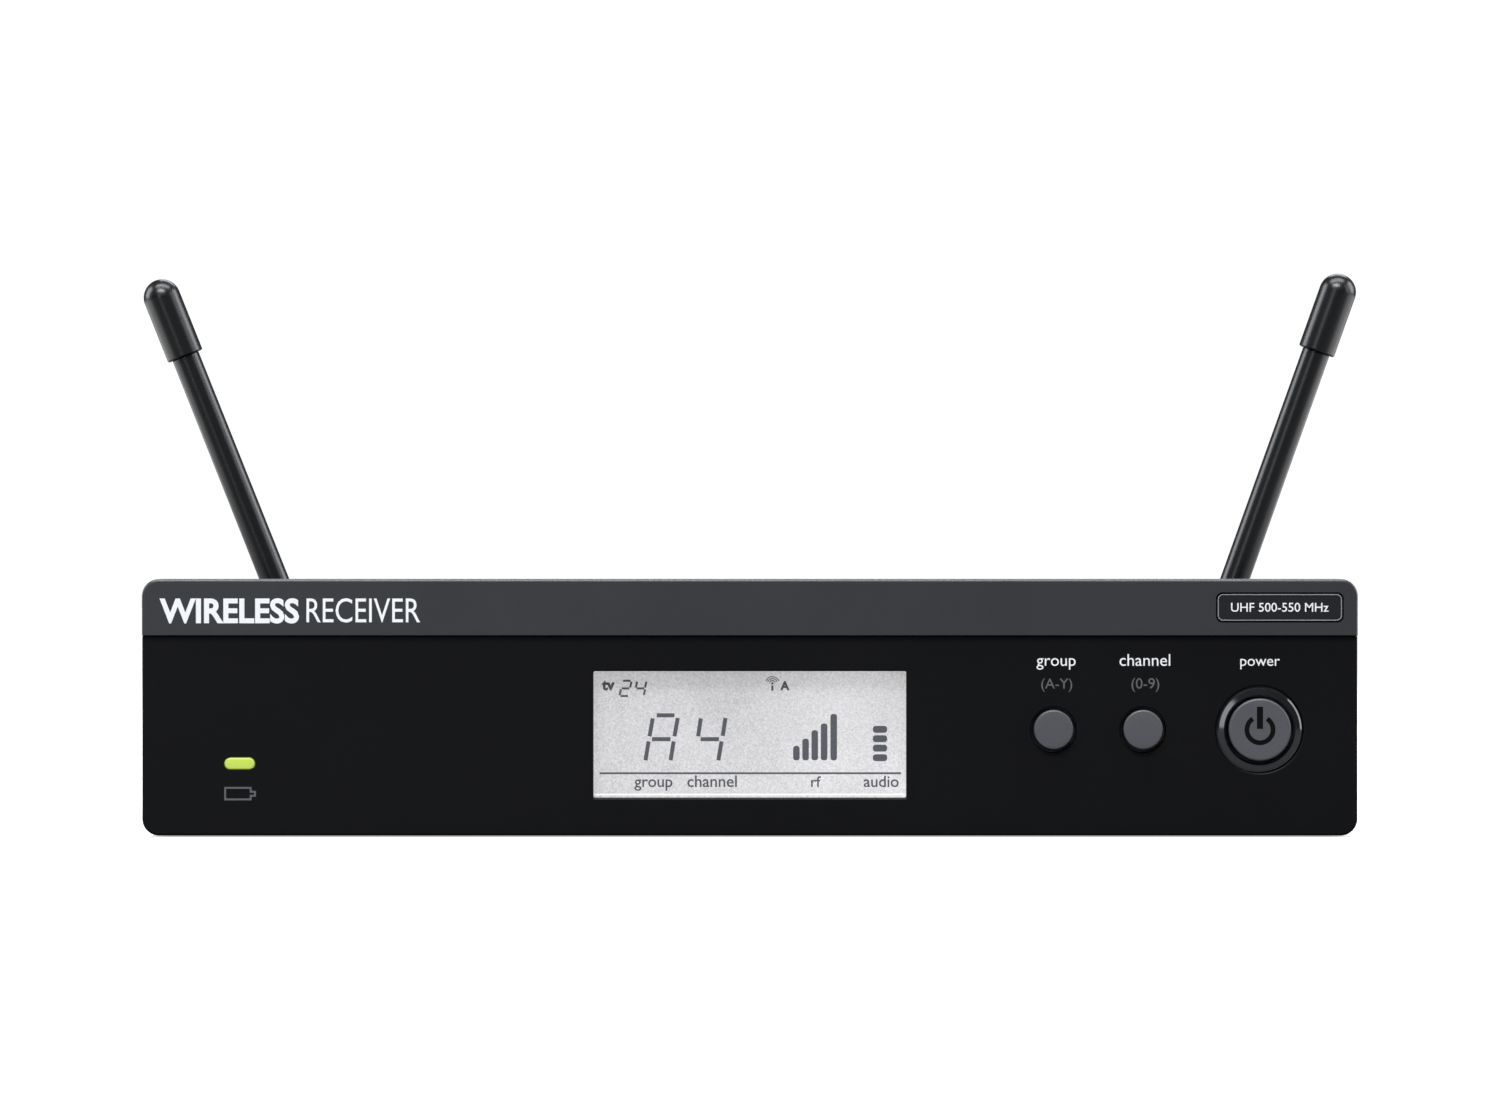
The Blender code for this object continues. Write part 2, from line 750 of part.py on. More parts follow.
def hex_nut(name, x, z, depths, across, bore, finish):
    """A six-sided nut about Y."""
    nut = rod(name, x, z, depths, across / math.sqrt(3), finish, sides=6)
    hole = rod(f"{name}_bore", x, z, (depths[0] - 0.002, depths[1] + 0.002), bore, sides=24)
    return cut(nut, hole)


def make_phone_jack():
    """A 6.35 mm output jack: its body behind the panel, a threaded bush and a nut."""
    body = block(
        "phone_jack",
        (PHONE_X - 0.0085, PHONE_X + 0.0085),
        (PANEL_DEPTH - 0.0270, REAR_WALL[0] - GAP),
        (BOARD_TOP + 0.0015, PHONE_Z + 0.0090),
        "connector_black",
    )
    bush = rod("phone_bush", PHONE_X, PHONE_Z, (PANEL_DEPTH - 0.004, PANEL_DEPTH + 0.0035), 0.0047, sides=24)
    bore = rod("phone_bore", PHONE_X, PHONE_Z, (PANEL_DEPTH - 0.0250, PANEL_DEPTH + 0.005), 0.0033, sides=24)
    join(body, bush)
    cut(body, bore)
    hex_nut(
        "phone_jack_nut",
        PHONE_X,
        PHONE_Z,
        (PANEL_DEPTH + GAP, PANEL_DEPTH + 0.0024),
        0.0130,
        0.0049,
        "connector_nickel",
    )


def make_dc_jack():
    body = block(
        "dc_jack",
        (POWER_JACK_X - 0.0045, POWER_JACK_X + 0.0045),
        (PANEL_DEPTH - 0.0140, REAR_WALL[0] - GAP),
        (BOARD_TOP + GAP, POWER_JACK_Z + 0.0048),
        "connector_black",
    )
    bush = rod("dc_bush", POWER_JACK_X, POWER_JACK_Z, (PANEL_DEPTH - 0.004, PANEL_DEPTH + 0.0006), 0.0044, sides=24)
    bore = rod("dc_bore", POWER_JACK_X, POWER_JACK_Z, (PANEL_DEPTH - 0.0100, PANEL_DEPTH + 0.002), 0.0032, sides=24)
    seat = rod("dc_pin_seat", POWER_JACK_X, POWER_JACK_Z, (PANEL_DEPTH - 0.0130, PANEL_DEPTH - 0.009), 0.0011, sides=12)
    join(body, bush)
    cut(body, bore, seat)
    rod(
        "dc_jack_pin",
        POWER_JACK_X,
        POWER_JACK_Z,
        (PANEL_DEPTH - 0.0125, PANEL_DEPTH - 0.0012),
        0.00105 - 0.00005,
        "connector_nickel",
        sides=12,
    )


def make_volume_control():
    """A rotary control: the potentiometer inside, its shaft, and the knob on the shaft."""
    pot = block(
        "volume_pot",
        (VOLUME_X - 0.0080, VOLUME_X + 0.0080),
        (PANEL_DEPTH - 0.0110, REAR_WALL[0] - GAP),
        (BOARD_TOP + 0.0020, VOLUME_Z + 0.0080),
        "can_tin",
    )
    bush = rod("volume_bush", VOLUME_X, VOLUME_Z, (PANEL_DEPTH - 0.004, PANEL_DEPTH + 0.0030), 0.0035, sides=24)
    bore = rod("volume_bore", VOLUME_X, VOLUME_Z, (PANEL_DEPTH - 0.0080, PANEL_DEPTH + 0.010), 0.0022, sides=20)
    join(pot, bush)
    cut(pot, bore)
    rod(
        "volume_shaft",
        VOLUME_X,
        VOLUME_Z,
        (PANEL_DEPTH - 0.0075, PANEL_DEPTH + 0.0100),
        0.0020,
        "connector_nickel",
        sides=20,
    )
    knob_profile = [
        (0.0, 0.0125),
        (0.0048, 0.0125),
        (0.0054, 0.0119),
        (0.0060, 0.0020),
        (0.0060, 0.0010),
        (0.0039, 0.0010),
        (0.0039, 0.0034),
        (0.0023, 0.0034),
        (0.0023, 0.0103),
        (0.0, 0.0103),
    ]
    knob = turned(
        "volume_knob",
        knob_profile,
        "connector_black",
        along_y(VOLUME_X, PANEL_DEPTH, VOLUME_Z),
    )
    pointer = block(
        "knob_pointer",
        (VOLUME_X - 0.0004, VOLUME_X + 0.0004),
        (PANEL_DEPTH + 0.0118, PANEL_DEPTH + 0.0140),
        (VOLUME_Z + 0.0012, VOLUME_Z + 0.0080),
    )
    cut(knob, pointer)


def make_cord_tie_off():
    """A hook for the power lead: a base on the panel, a short post, and a cross bar."""
    base = block(
        "cord_tie_off",
        (TIE_X - 0.0040, TIE_X + 0.0040),
        (PANEL_DEPTH + GAP, PANEL_DEPTH + 0.0018),
        (TIE_Z - 0.0070, TIE_Z + 0.0070),
        "connector_black",
        radius=0.001,
        steps=2,
    )
    post = block(
        "tie_post",
        (TIE_X - 0.0020, TIE_X + 0.0020),
        (PANEL_DEPTH + 0.0010, PANEL_DEPTH + 0.0085),
        (TIE_Z - 0.0018, TIE_Z + 0.0018),
    )
    bar = block(
        "tie_bar",
        (TIE_X - 0.0025, TIE_X + 0.0025),
        (PANEL_DEPTH + 0.0078, PANEL_DEPTH + 0.0098),
        (TIE_Z - 0.0078, TIE_Z + 0.0078),
        radius=0.0009,
        along="x",
        steps=2,
    )
    join(base, post, bar)


# ---------------------------------------------------------------- antennas
LUG_DEPTH = 0.0052            # behind the panel's outer face
COLLAR = (0.0029, 0.0134)


def make_antenna_jack(side):
    """The panel socket: a barrel with a rear flange, a blind bore and two bayonet lugs."""
    x = connector_x(side)
    profile = [
        (0.0, 0.0110),
        (0.0048, 0.0110),
        (0.0048, -0.0013),
        (0.0070, -0.0013),
        (0.0070, -0.0035),
        (0.0035, -0.0035),
        (0.0035, -0.0080),
        (0.0, -0.0080),
    ]
    jack = turned(f"{side}_antenna_jack", profile, "connector_nickel", along_y(x, PANEL_DEPTH, CONNECTOR_Z), sides=24)
    bm = bmesh.new()
    place = Matrix.Translation((x, at(PANEL_DEPTH + LUG_DEPTH), CONNECTOR_Z))
    bmesh.ops.create_cone(
        bm,
        cap_ends=True,
        segments=12,
        radius1=0.0009,
        radius2=0.0009,
        depth=0.0108,
        matrix=place,
    )
    lugs = add(f"{side}_lugs", mesh_from(f"{side}_lugs", bm))
    bore = rod(
        f"{side}_jack_bore",
        x,
        CONNECTOR_Z,
        (PANEL_DEPTH + 0.0035, PANEL_DEPTH + 0.0120),
        0.00415,
        sides=24,
    )
    join(jack, lugs)
    cut(jack, bore)
    hex_nut(
        f"{side}_jack_nut",
        x,
        CONNECTOR_Z,
        (PANEL_DEPTH + GAP, PANEL_DEPTH + 0.0024),
        0.0125,
        0.0050,
        "connector_nickel",
    )


def make_bayonet_collar(side):
    """The locking ring: a groove for the lugs inside, and two entry slots a quarter turn away."""
    x = connector_x(side)
    front, back = COLLAR
    profile = [
        (0.0068, back),
        (0.0072, back - 0.0004),
        (0.0072, front + 0.0004),
        (0.0068, front),
        (0.0051, front),
        (0.0051, LUG_DEPTH - 0.0012),
        (0.0059, LUG_DEPTH - 0.0012),
        (0.0059, LUG_DEPTH + 0.0012),
        (0.0051, LUG_DEPTH + 0.0012),
        (0.0051, back),
    ]
    collar = turned(
        f"{side}_bayonet_collar",
        profile,
        "connector_nickel",
        along_y(x, PANEL_DEPTH, CONNECTOR_Z),
        closed=True,
    )
    slots = block(
        f"{side}_entry_slots",
        (x - 0.0056, x + 0.0056),
        (PANEL_DEPTH + front - 0.001, PANEL_DEPTH + LUG_DEPTH),
        (CONNECTOR_Z - 0.0011, CONNECTOR_Z + 0.0011),
    )
    cut(collar, slots)


def make_antenna(side):
    """The tilting antenna, built upright about its connector's axis and then leaned outwards."""
    lean = Matrix.Rotation(math.radians(LEANS[side]), 4, "Y")
    swivel_place = Matrix.Translation((connector_x(side), at(PANEL_DEPTH), CONNECTOR_Z)) @ lean
    swivel = empty(f"{side}_swivel_pivot", swivel_place)
    reach = FOLD_DEPTH - PANEL_DEPTH
    fold = empty(f"{side}_fold_pivot", Matrix.Translation((0, reach, 0)), swivel)

    core_profile = [
        (0.0, 0.0172),
        (0.0036, 0.0172),
        (0.0036, 0.0140),
        (0.0048, 0.0140),
        (0.0048, 0.0113),
        (0.0039, 0.0113),
        (0.0039, 0.0042),
        (0.0, 0.0042),
    ]
    turned(
        f"{side}_plug_core",
        core_profile,
        "connector_nickel",
        Matrix.Rotation(-math.pi / 2, 4, "X"),
        sides=24,
        parent=swivel,
    )

    # The knuckle: a socket for the plug core, slotted behind to leave two cheeks for the fold pin.
    knuckle = rod(
        f"{side}_knuckle", 0, 0, (0.0143, reach + 0.0040), 0.0056, "connector_black", sides=28, parent=swivel
    )
    nose = block(
        f"{side}_knuckle_nose",
        (-0.01, 0.01),
        (0.0050, reach + 0.0040),
        (-0.0057, 0.0057),
        radius=0.0042,
        along="x",
        steps=6,
        parent=swivel,
    )
    slot = block(
        f"{side}_knuckle_slot", (-0.0028, 0.0028), (reach - 0.0041, 0.04), (-0.01, 0.01), parent=swivel
    )
    boolean(knuckle, nose, "INTERSECT")
    cut(knuckle, slot)
    socket = rod(f"{side}_core_socket", 0, 0, (0.0120, 0.0174), 0.0038, sides=24, parent=swivel)
    bm = bmesh.new()
    bmesh.ops.create_cone(
        bm,
        cap_ends=True,
        segments=16,
        radius1=0.00115,
        radius2=0.00115,
        depth=0.02,
        matrix=Matrix.Translation((0, reach, 0)) @ Matrix.Rotation(math.pi / 2, 4, "Y"),
    )
    pin_hole = add(f"{side}_pin_hole", mesh_from(f"{side}_pin_hole", bm), parent=swivel)
    cut(knuckle, socket, pin_hole)

    pin_half = 0.0053
    pin_profile = [(0.0, pin_half), (0.0010, pin_half), (0.0010, -pin_half), (0.0, -pin_half)]
    turned(
        f"{side}_fold_pin",
        pin_profile,
        "connector_nickel",
        Matrix.Translation((0, reach, 0)) @ Matrix.Rotation(math.pi / 2, 4, "Y"),
        sides=16,
        parent=swivel,
    )

    # The rod and its flat root, about the fold pin. Its own Z axis points at the tip.
    cap_foot = ROD_REACH - CAP_LENGTH
    rod_profile = [
        (0.0, cap_foot + 0.0085),
        (0.0016, cap_foot + 0.0085),
        (0.0016, cap_foot),
        (ROD_RADIUS, cap_foot),
        (ROD_RADIUS + 0.00006, 0.0070),
        (0.0019, 0.0050),
        (0.0019, 0.0020),
        (0.0, 0.0020),
    ]
    whip = turned(f"{side}_whip", rod_profile, "antenna_rubber", Matrix.Identity(4), sides=24, parent=fold)
    root = block(
        f"{side}_whip_root",
        (-0.0025, 0.0025),
        (-0.0036, 0.0036),
        (-0.0036, 0.0060),
        radius=0.0034,
        along="x",
        steps=4,
        parent=fold,
    )
    eye_bm = bmesh.new()
    bmesh.ops.create_cone(
        eye_bm,
        cap_ends=True,
        segments=16,
        radius1=0.00115,
        radius2=0.00115,
        depth=0.01,
        matrix=Matrix.Rotation(math.pi / 2, 4, "Y"),
    )
    eye = add(f"{side}_whip_eye", mesh_from(f"{side}_whip_eye", eye_bm), parent=fold)
    join(whip, root)
    cut(whip, eye)

    steps = 5
    dome = [
        (CAP_RADIUS * math.sin(a), ROD_REACH + CAP_RADIUS * math.cos(a))
        for a in (math.pi / 2 * i / steps for i in range(steps + 1))
    ]
    dome[0] = (0.0, ROD_REACH + CAP_RADIUS)
    cap_profile = dome + [
        (CAP_RADIUS, cap_foot + 0.0002),
        (0.0018, cap_foot + 0.0002),
        (0.0018, cap_foot + 0.0090),
        (0.0, cap_foot + 0.0090),
    ]
    turned(f"{side}_whip_cap", cap_profile, "antenna_rubber", Matrix.Identity(4), sides=24, parent=fold)


def make_coax_lead(side):
    """The thin screened lead from an antenna socket to the radio circuit."""
    sign = -1 if side == "left" else 1
    start = Vector((connector_x(side), at(PANEL_DEPTH - 0.0084), CONNECTOR_Z))
    end = Vector((sign * 0.0352, at(0.056), BOARD_TOP + 0.0045))
    bend_a = start + Vector((0, -0.030, 0.004))
    bend_b = end + Vector((sign * 0.030, 0, 0.006))
    curve = bpy.data.curves.new(f"{side}_coax_lead", "CURVE")
    curve.dimensions = "3D"
    curve.bevel_depth = 0.0009
    curve.bevel_resolution = 2
    curve.use_fill_caps = True
    count = 18
    spline = curve.splines.new("POLY")
    spline.points.add(count - 1)
    for i in range(count):
        t = i / (count - 1)
        p = (
            start * (1 - t) ** 3
            + bend_a * 3 * t * (1 - t) ** 2
            + bend_b * 3 * t * t * (1 - t)
            + end * t**3
        )
        spline.points[i].co = (*p, 1.0)
    obj = bpy.data.objects.new(f"{side}_coax_lead", curve)
    curve.materials.append(material("lead_grey"))
    PARTS.objects.link(obj)


# ---------------------------------------------------------------- build
def build():
    make_front_bezel()
    make_top_trim_band()
    make_frequency_badge()
    make_display_window()
    make_battery_light_pipe()
    make_buttons()
    make_power_ring()
    make_display()
    make_main_board()
    make_ribbon_cable()
    make_chassis_tray()
    make_top_cover()
    make_cover_screws()
    make_rear_panel()
    make_feet()
    make_xlr()
    make_phone_jack()
    make_dc_jack()
    make_volume_control()
    make_cord_tie_off()
    for side in LEANS:
        make_antenna_jack(side)
        make_bayonet_collar(side)
        make_antenna(side)
        make_coax_lead(side)


clear_scene()
PARTS = collection("Wireless receiver")
CUTTERS = collection("Cutters")
build()
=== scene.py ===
"""Looks for the half-rack wireless receiver. Metres, +Z up, the front faces -Y."""

import math

import bmesh
import bpy
from mathutils import Matrix, Vector
from mathutils.geometry import tessellate_polygon


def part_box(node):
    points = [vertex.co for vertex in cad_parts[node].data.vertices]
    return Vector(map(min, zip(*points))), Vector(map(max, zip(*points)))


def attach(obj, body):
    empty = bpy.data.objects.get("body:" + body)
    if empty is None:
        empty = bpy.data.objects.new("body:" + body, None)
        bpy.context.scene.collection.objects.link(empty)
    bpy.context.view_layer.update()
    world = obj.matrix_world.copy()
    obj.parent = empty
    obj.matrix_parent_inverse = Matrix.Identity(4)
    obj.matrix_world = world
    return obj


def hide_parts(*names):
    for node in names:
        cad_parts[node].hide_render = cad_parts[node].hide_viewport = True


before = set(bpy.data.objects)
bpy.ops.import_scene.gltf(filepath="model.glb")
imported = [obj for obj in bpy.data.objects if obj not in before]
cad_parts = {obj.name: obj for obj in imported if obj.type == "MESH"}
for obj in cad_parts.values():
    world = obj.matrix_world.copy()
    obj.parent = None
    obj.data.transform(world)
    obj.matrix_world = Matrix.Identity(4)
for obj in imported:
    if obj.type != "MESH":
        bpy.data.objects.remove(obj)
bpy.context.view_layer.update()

MM = 0.001

# ------------------------------------------------------------------ places, read from the CAD
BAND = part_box("top_trim_band")
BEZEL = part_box("front_bezel")
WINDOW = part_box("display_window")
FRONT = BAND[0].y                       # the band's front face: depth zero
PANEL_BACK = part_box("rear_panel")[1].y  # the rear panel's outer face


def deep(depth_mm):
    """The Y of a depth in millimetres behind the band's front face."""
    return FRONT + depth_mm * MM


def behind(depth_mm):
    """The Y of a distance in millimetres behind the rear panel's outer face."""
    return PANEL_BACK + depth_mm * MM


def middle(node):
    low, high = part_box(node)
    return (low + high) / 2


def at_front(node):
    """A node's middle, moved along Y to the band's front face."""
    place = middle(node)
    return Vector((place.x, FRONT, place.z))


def at_back(node):
    """A node's middle, moved along Y to the rear panel's outer face."""
    place = middle(node)
    return Vector((place.x, PANEL_BACK, place.z))


POWER = at_front("power_button")
LIGHT = middle("battery_light_pipe")
BADGE = middle("frequency_badge")
SMALL_BUTTONS = {name: at_front(f"{name}_button") for name in ("group", "channel")}
XLR = at_back("xlr_shell")
XLR_FIXINGS = [XLR + side * Vector((9.5 * MM, 0, 12.0 * MM)) for side in (-1, 1)]
XLR_PINS = [f"xlr_pin_{k}" for k in (1, 2, 3)]
PHONE = at_back("phone_jack_nut")
VOLUME = at_back("volume_knob")
POWER_JACK = at_back("dc_jack_pin")
JACKS = {side: at_back(f"{side}_jack_nut") for side in ("left", "right")}
COVER_SCREWS = ("left_front", "left_rear", "right_front", "right_rear")

# ------------------------------------------------------------------ sizes that several pieces share
CORNER = 2.75 * MM        # the corners of the fascia and the band
PANEL_STEP = 0.8          # how far the fascia's face lies behind the band's, in millimetres
INK = 0.02 * MM           # the thickness of print
INK_PROUD = 0.015 * MM    # how far print stands in front of its surface
MARK_DEPTH = 0.12         # how deep the power sign is sunk into its cap, in millimetres
SHARP = 38                # edges sharper than this many degrees aren't shaded smooth
BODY_BACK = -1.3          # the back of each connector's body, in millimetres behind the rear panel
CAP_RADIUS = 3.26         # an antenna's cap, in millimetres
ORIGIN = Vector((0, 0, 0))
ALONG_Z = Matrix.Rotation(math.pi / 2, 4, "X")
ALONG_X = Matrix.Rotation(math.pi / 2, 4, "Z")
AT_FOLD = Matrix.Translation((0, 22 * MM, 0))  # an antenna's fold pin, behind its socket
SWAP_X_Y = Matrix(((0, 1, 0, 0), (1, 0, 0, 0), (0, 0, 1, 0), (0, 0, 0, 1)))


# ------------------------------------------------------------------ camera and light
LENS = 237.1            # in millimetres
CAMERA_AWAY = 1.6       # from the band's front face
CAMERA_SIDE = 0.00003
CAMERA_HEIGHT = 0.04563
COOL = (0.93, 0.96, 1.0)


def link(obj):
    bpy.context.scene.collection.objects.link(obj)
    return obj


def make_camera():
    data = bpy.data.cameras.new("Camera")
    data.sensor_width = 36.0
    data.lens = LENS
    data.clip_start, data.clip_end = 0.05, 60.0
    camera = link(bpy.data.objects.new("Camera", data))
    camera.location = (CAMERA_SIDE, FRONT - CAMERA_AWAY, CAMERA_HEIGHT)
    camera.rotation_euler = (math.radians(90), 0, 0)
    bpy.context.scene.camera = camera


def softbox(name, place, target, size, power):
    data = bpy.data.lights.new(name, "AREA")
    data.shape = "RECTANGLE"
    data.size, data.size_y = size
    data.energy = power
    data.color = COOL
    lamp = link(bpy.data.objects.new(name, data))
    lamp.location = place
    lamp.rotation_euler = (Vector(target) - Vector(place)).to_track_quat("-Z", "Y").to_euler()
    lamp.visible_camera = False


def make_lights():
    softbox("Overhead", (0, -0.12, 1.30), (0, 0, 0.03), (1.5, 0.5), 19)
    softbox("Front_high", (-0.20, -1.18, 1.32), (0, -0.05, 0.03), (1.1, 0.45), 31)
    softbox("Left_side", (-1.15, 0.25, 0.48), (0, 0.05, 0.05), (0.65, 0.9), 11)
    softbox("Right_side", (1.15, 0.25, 0.48), (0, 0.05, 0.05), (0.65, 0.9), 11)
    # These two give the power button's ring its arcs of light.
    softbox("Right_front", (1.18, -0.47, 0.42), (0, -0.05, 0.02), (0.3, 1.0), 3.0)
    softbox("Left_front", (-0.47, -1.30, 0.35), (0.08, -0.07, 0.02), (0.28, 0.66), 1.4)
    softbox("Behind", (0.2, 1.35, 1.1), (0, 0.05, 0.03), (1.0, 0.6), 8)


# ------------------------------------------------------------------ materials
class Graph:
    """A node tree, with short ways to add nodes and join them."""

    def __init__(self, owner):
        owner.use_nodes = True
        self.nodes, self.links = owner.node_tree.nodes, owner.node_tree.links

    def set(self, node, inputs):
        """Gives each named or numbered input a value, or joins it to another node's output."""
        for socket, value in inputs.items():
            if isinstance(value, bpy.types.NodeSocket):
                self.links.new(value, node.inputs[socket])
            else:
                node.inputs[socket].default_value = value

    def add(self, kind, inputs, **settings):
        """The first output of a new node."""
        node = self.nodes.new("ShaderNode" + kind)
        for name, value in settings.items():
            setattr(node, name, value)
        self.set(node, inputs)
        return node.outputs[0] if node.outputs else None

    def math(self, operation, *values):
        return self.add("Math", dict(enumerate(values)), operation=operation)

    def span(self, value, to_low, to_high, low=0.0, high=1.0, kind="LINEAR"):
        """Maps the range from low to high onto another."""
        inputs = {"Value": value, "From Min": low, "From Max": high, "To Min": to_low, "To Max": to_high}
        return self.add("MapRange", inputs, interpolation_type=kind)

    def place(self):
        """A point's place in metres."""
        return self.nodes.new("ShaderNodeTexCoord").outputs["Object"]

    def parts(self, vector):
        """The X, Y and Z of a vector."""
        return self.add("SeparateXYZ", {"Vector": vector}).node.outputs

    def seen(self):
        """1 where the camera looks straight at something, and 0 in its light and reflections."""
        return self.nodes.new("ShaderNodeLightPath").outputs["Is Camera Ray"]

    def noise(self, vector, scale, detail=4.0):
        """Noise of a given number of cells per metre."""
        return self.add("TexNoise", {"Vector": vector, "Scale": scale, "Detail": detail, "Roughness": 0.6})


def make_world():
    world = bpy.data.worlds.new("Studio")
    bpy.context.scene.world = world
    graph = Graph(world)
    graph.nodes.clear()
    room = graph.add("Background", {"Color": (0.95, 0.97, 1.0, 1.0), "Strength": 0.10})
    backdrop = graph.add("Background", {"Color": (1.0, 1.0, 1.0, 1.0), "Strength": 1.05})
    graph.add("OutputWorld", {"Surface": graph.add("MixShader", {0: graph.seen(), 1: room, 2: backdrop})})


LOOKS = {}


def surface(
    name, colour, vary, rough, grain, bump, relief=0.00004, metallic=0.0, fade=None, glow=0.0, **fixed
):
    """A moulded, painted or metal surface: fine grain in its colour, roughness and relief, and broad patches.

    grain is cells per metre. fade is ((z, factor), (z, factor)), a colour change from one height to another.
    glow lets the surface shine in its own colour. fixed sets further sockets of the Principled shader."""
    material = bpy.data.materials.new(name)
    graph = Graph(material)
    shader = graph.nodes["Principled BSDF"]
    place = graph.place()
    fine = graph.noise(place, grain, 3.0)
    patches = graph.math("MULTIPLY", graph.noise(place, 38, 3.0), 0.4)
    blend = graph.math("MULTIPLY_ADD", fine, 0.6, patches)
    result = graph.add("MixRGB", {
        "Fac": graph.span(blend, -0.5, 1.5),
        "Color1": (*[c * (1 - vary) for c in colour], 1.0),
        "Color2": (*[min(1.0, c * (1 + vary)) for c in colour], 1.0),
    })
    if fade:
        (z0, f0), (z1, f1) = fade
        factor = graph.span(graph.parts(place)["Z"], f0, f1, z0, z1)
        result = graph.add("VectorMath", {0: result, "Scale": factor}, operation="SCALE")
    graph.set(shader, {socket.replace("_", " "): value for socket, value in fixed.items()})
    graph.set(shader, {"Metallic": metallic, "Base Color": result, "Roughness": graph.span(blend, *rough)})
    if glow:
        graph.set(shader, {"Emission Color": result, "Emission Strength": glow})
    if bump:
        normal = graph.add("Bump", {"Strength": bump, "Distance": relief, "Height": fine})
        graph.set(shader, {"Normal": normal})
    LOOKS[name] = material


FINE = 0.00002  # the relief of a smooth finish


def make_front_looks():
    surface("fascia", (0.0026, 0.0026, 0.0031), 0.25, (0.38, 0.48), 5200, 0.10, FINE, Specular_IOR_Level=0.17)
    surface("band", (0.0345, 0.0345, 0.0385), 0.2, (0.30, 0.38), 6500, 0.10, FINE)
    surface("badge", (0.013, 0.013, 0.015), 0.2, (0.30, 0.42), 7000, 0.08, FINE, Specular_IOR_Level=0.35)
    surface("badge_rim", (0.30, 0.30, 0.32), 0.1, (0.3, 0.4), 5000, 0.05)
    surface("button", (0.085, 0.086, 0.094), 0.2, (0.34, 0.44), 6000, 0.12, FINE)
    # Used both for the power sign's dark print and for painted shade in the badge's groove.
    surface("mark_black_and_painted_shade", (0.003, 0.003, 0.0035), 0.2, (0.5, 0.65), 6000, 0.05, Specular_IOR_Level=0.08)
    polish = {"Specular_IOR_Level": 0.9, "Coat_Weight": 0.8, "Coat_Roughness": 0.10}
    surface("ring", (0.005, 0.005, 0.006), 0.2, (0.09, 0.13), 3000, 0.02, **polish)


def make_display_looks():
    glass = {"Alpha": 0.06, "Specular_IOR_Level": 0.35}
    surface("window", (0.5, 0.5, 0.52), 0.05, (0.06, 0.10), 900, 0.0, **glass)
    # Painted shade: the display's colour darkens towards its top, under the window's recess, and brightens
    # towards its bottom.
    fade = ((WINDOW[0].z, 1.18), (WINDOW[1].z, 0.97))
    surface("display", (0.15, 0.148, 0.150), 0.42, (0.35, 0.5), 3400, 0.05, fade=fade, glow=3.5)
    # Painted highlight: a glowing strip along the display's lower edge.
    surface("display_edge_highlight", (0.35, 0.35, 0.36), 0.04, (0.3, 0.4), 3000, 0.02, glow=2.6)
    surface("display_ink", (0.060, 0.063, 0.078), 0.15, (0.4, 0.55), 6000, 0.03)
    surface("lit", (0.34, 0.44, 0.065), 0.05, (0.25, 0.35), 3000, 0.03, glow=0.78)


def make_print_looks():
    surface("white_ink", (0.93, 0.93, 0.93), 0.05, (0.45, 0.6), 6000, 0.05)
    surface("grey_ink", (0.115, 0.115, 0.12), 0.1, (0.45, 0.6), 6000, 0.05)


def make_case_looks():
    surface("paint", (0.0100, 0.0100, 0.0110), 0.25, (0.42, 0.58), 1900, 0.55, 0.00006)
    surface("antenna", (0.0042, 0.0044, 0.0052), 0.2, (0.26, 0.32), 3600, 0.05, FINE)
    surface("plastic", (0.012, 0.012, 0.013), 0.2, (0.36, 0.5), 3800, 0.14, 0.00003)
    surface("foot", (0.012, 0.012, 0.012), 0.25, (0.7, 0.85), 2600, 0.3)


def make_metal_looks():
    surface("nickel", (0.60, 0.585, 0.55), 0.06, (0.20, 0.30), 3200, 0.02, FINE, 1.0)
    surface("can", (0.60, 0.60, 0.61), 0.10, (0.24, 0.4), 1600, 0.06, 0.00003, 1.0)
    surface("gold", (0.83, 0.60, 0.24), 0.10, (0.18, 0.3), 3000, 0.04, FINE, 1.0)
    surface("black_steel", (0.045, 0.045, 0.047), 0.2, (0.28, 0.42), 3600, 0.08, FINE, 0.9)


def make_inner_looks():
    surface("board", (0.012, 0.085, 0.035), 0.25, (0.3, 0.45), 900, 0.06)
    surface("switch", (0.02, 0.02, 0.02), 0.2, (0.4, 0.55), 3000, 0.1)
    surface("lead", (0.20, 0.20, 0.21), 0.12, (0.45, 0.6), 3000, 0.1)
    surface("diffuser", (0.75, 0.75, 0.77), 0.05, (0.4, 0.55), 2000, 0.05)


# ------------------------------------------------------------------ shapes
class Shape:
    """Points and faces of one piece, built from loops of points that are joined to each other."""

    def __init__(self):
        self.points, self.faces = [], []

    def loop(self, points):
        start = len(self.points)
        self.points += [Vector(p) for p in points]
        return list(range(start, len(self.points)))

    def join(self, a, b, closed=True):
        """Quads between two loops of the same length, or a fan where one of them is a single point."""
        count = max(len(a), len(b))
        for i in range(count if closed else count - 1):
            j = (i + 1) % count
            quad = [a[i % len(a)], a[j % len(a)], b[j % len(b)], b[i % len(b)]]
            self.faces.append(list(dict.fromkeys(quad)))

    def fill(self, loops):
        """A flat face inside the first loop and outside the others."""
        flat = [i for loop in loops for i in loop]
        for face in tessellate_polygon([[self.points[i] for i in loop] for loop in loops]):
            self.faces.append([flat[i] for i in face])

    def strip(self, loops, cap=True, ring=False):
        """Loops joined one after another, with both ends filled or the last joined to the first."""
        for a, b in zip(loops, loops[1:]):
            self.join(a, b)
        if ring:
            self.join(loops[-1], loops[0])
        elif cap:
            for end in (loops[0], loops[-1]):
                if len(end) > 2:
                    self.fill([end])

    def move(self, matrix):
        self.points = [matrix @ p for p in self.points]
        return self

    def mesh(self, name, sharp=SHARP):
        mesh = bpy.data.meshes.new(name)
        mesh.from_pydata(self.points, [], self.faces)
        return welded(mesh, 1e-7, sharp)


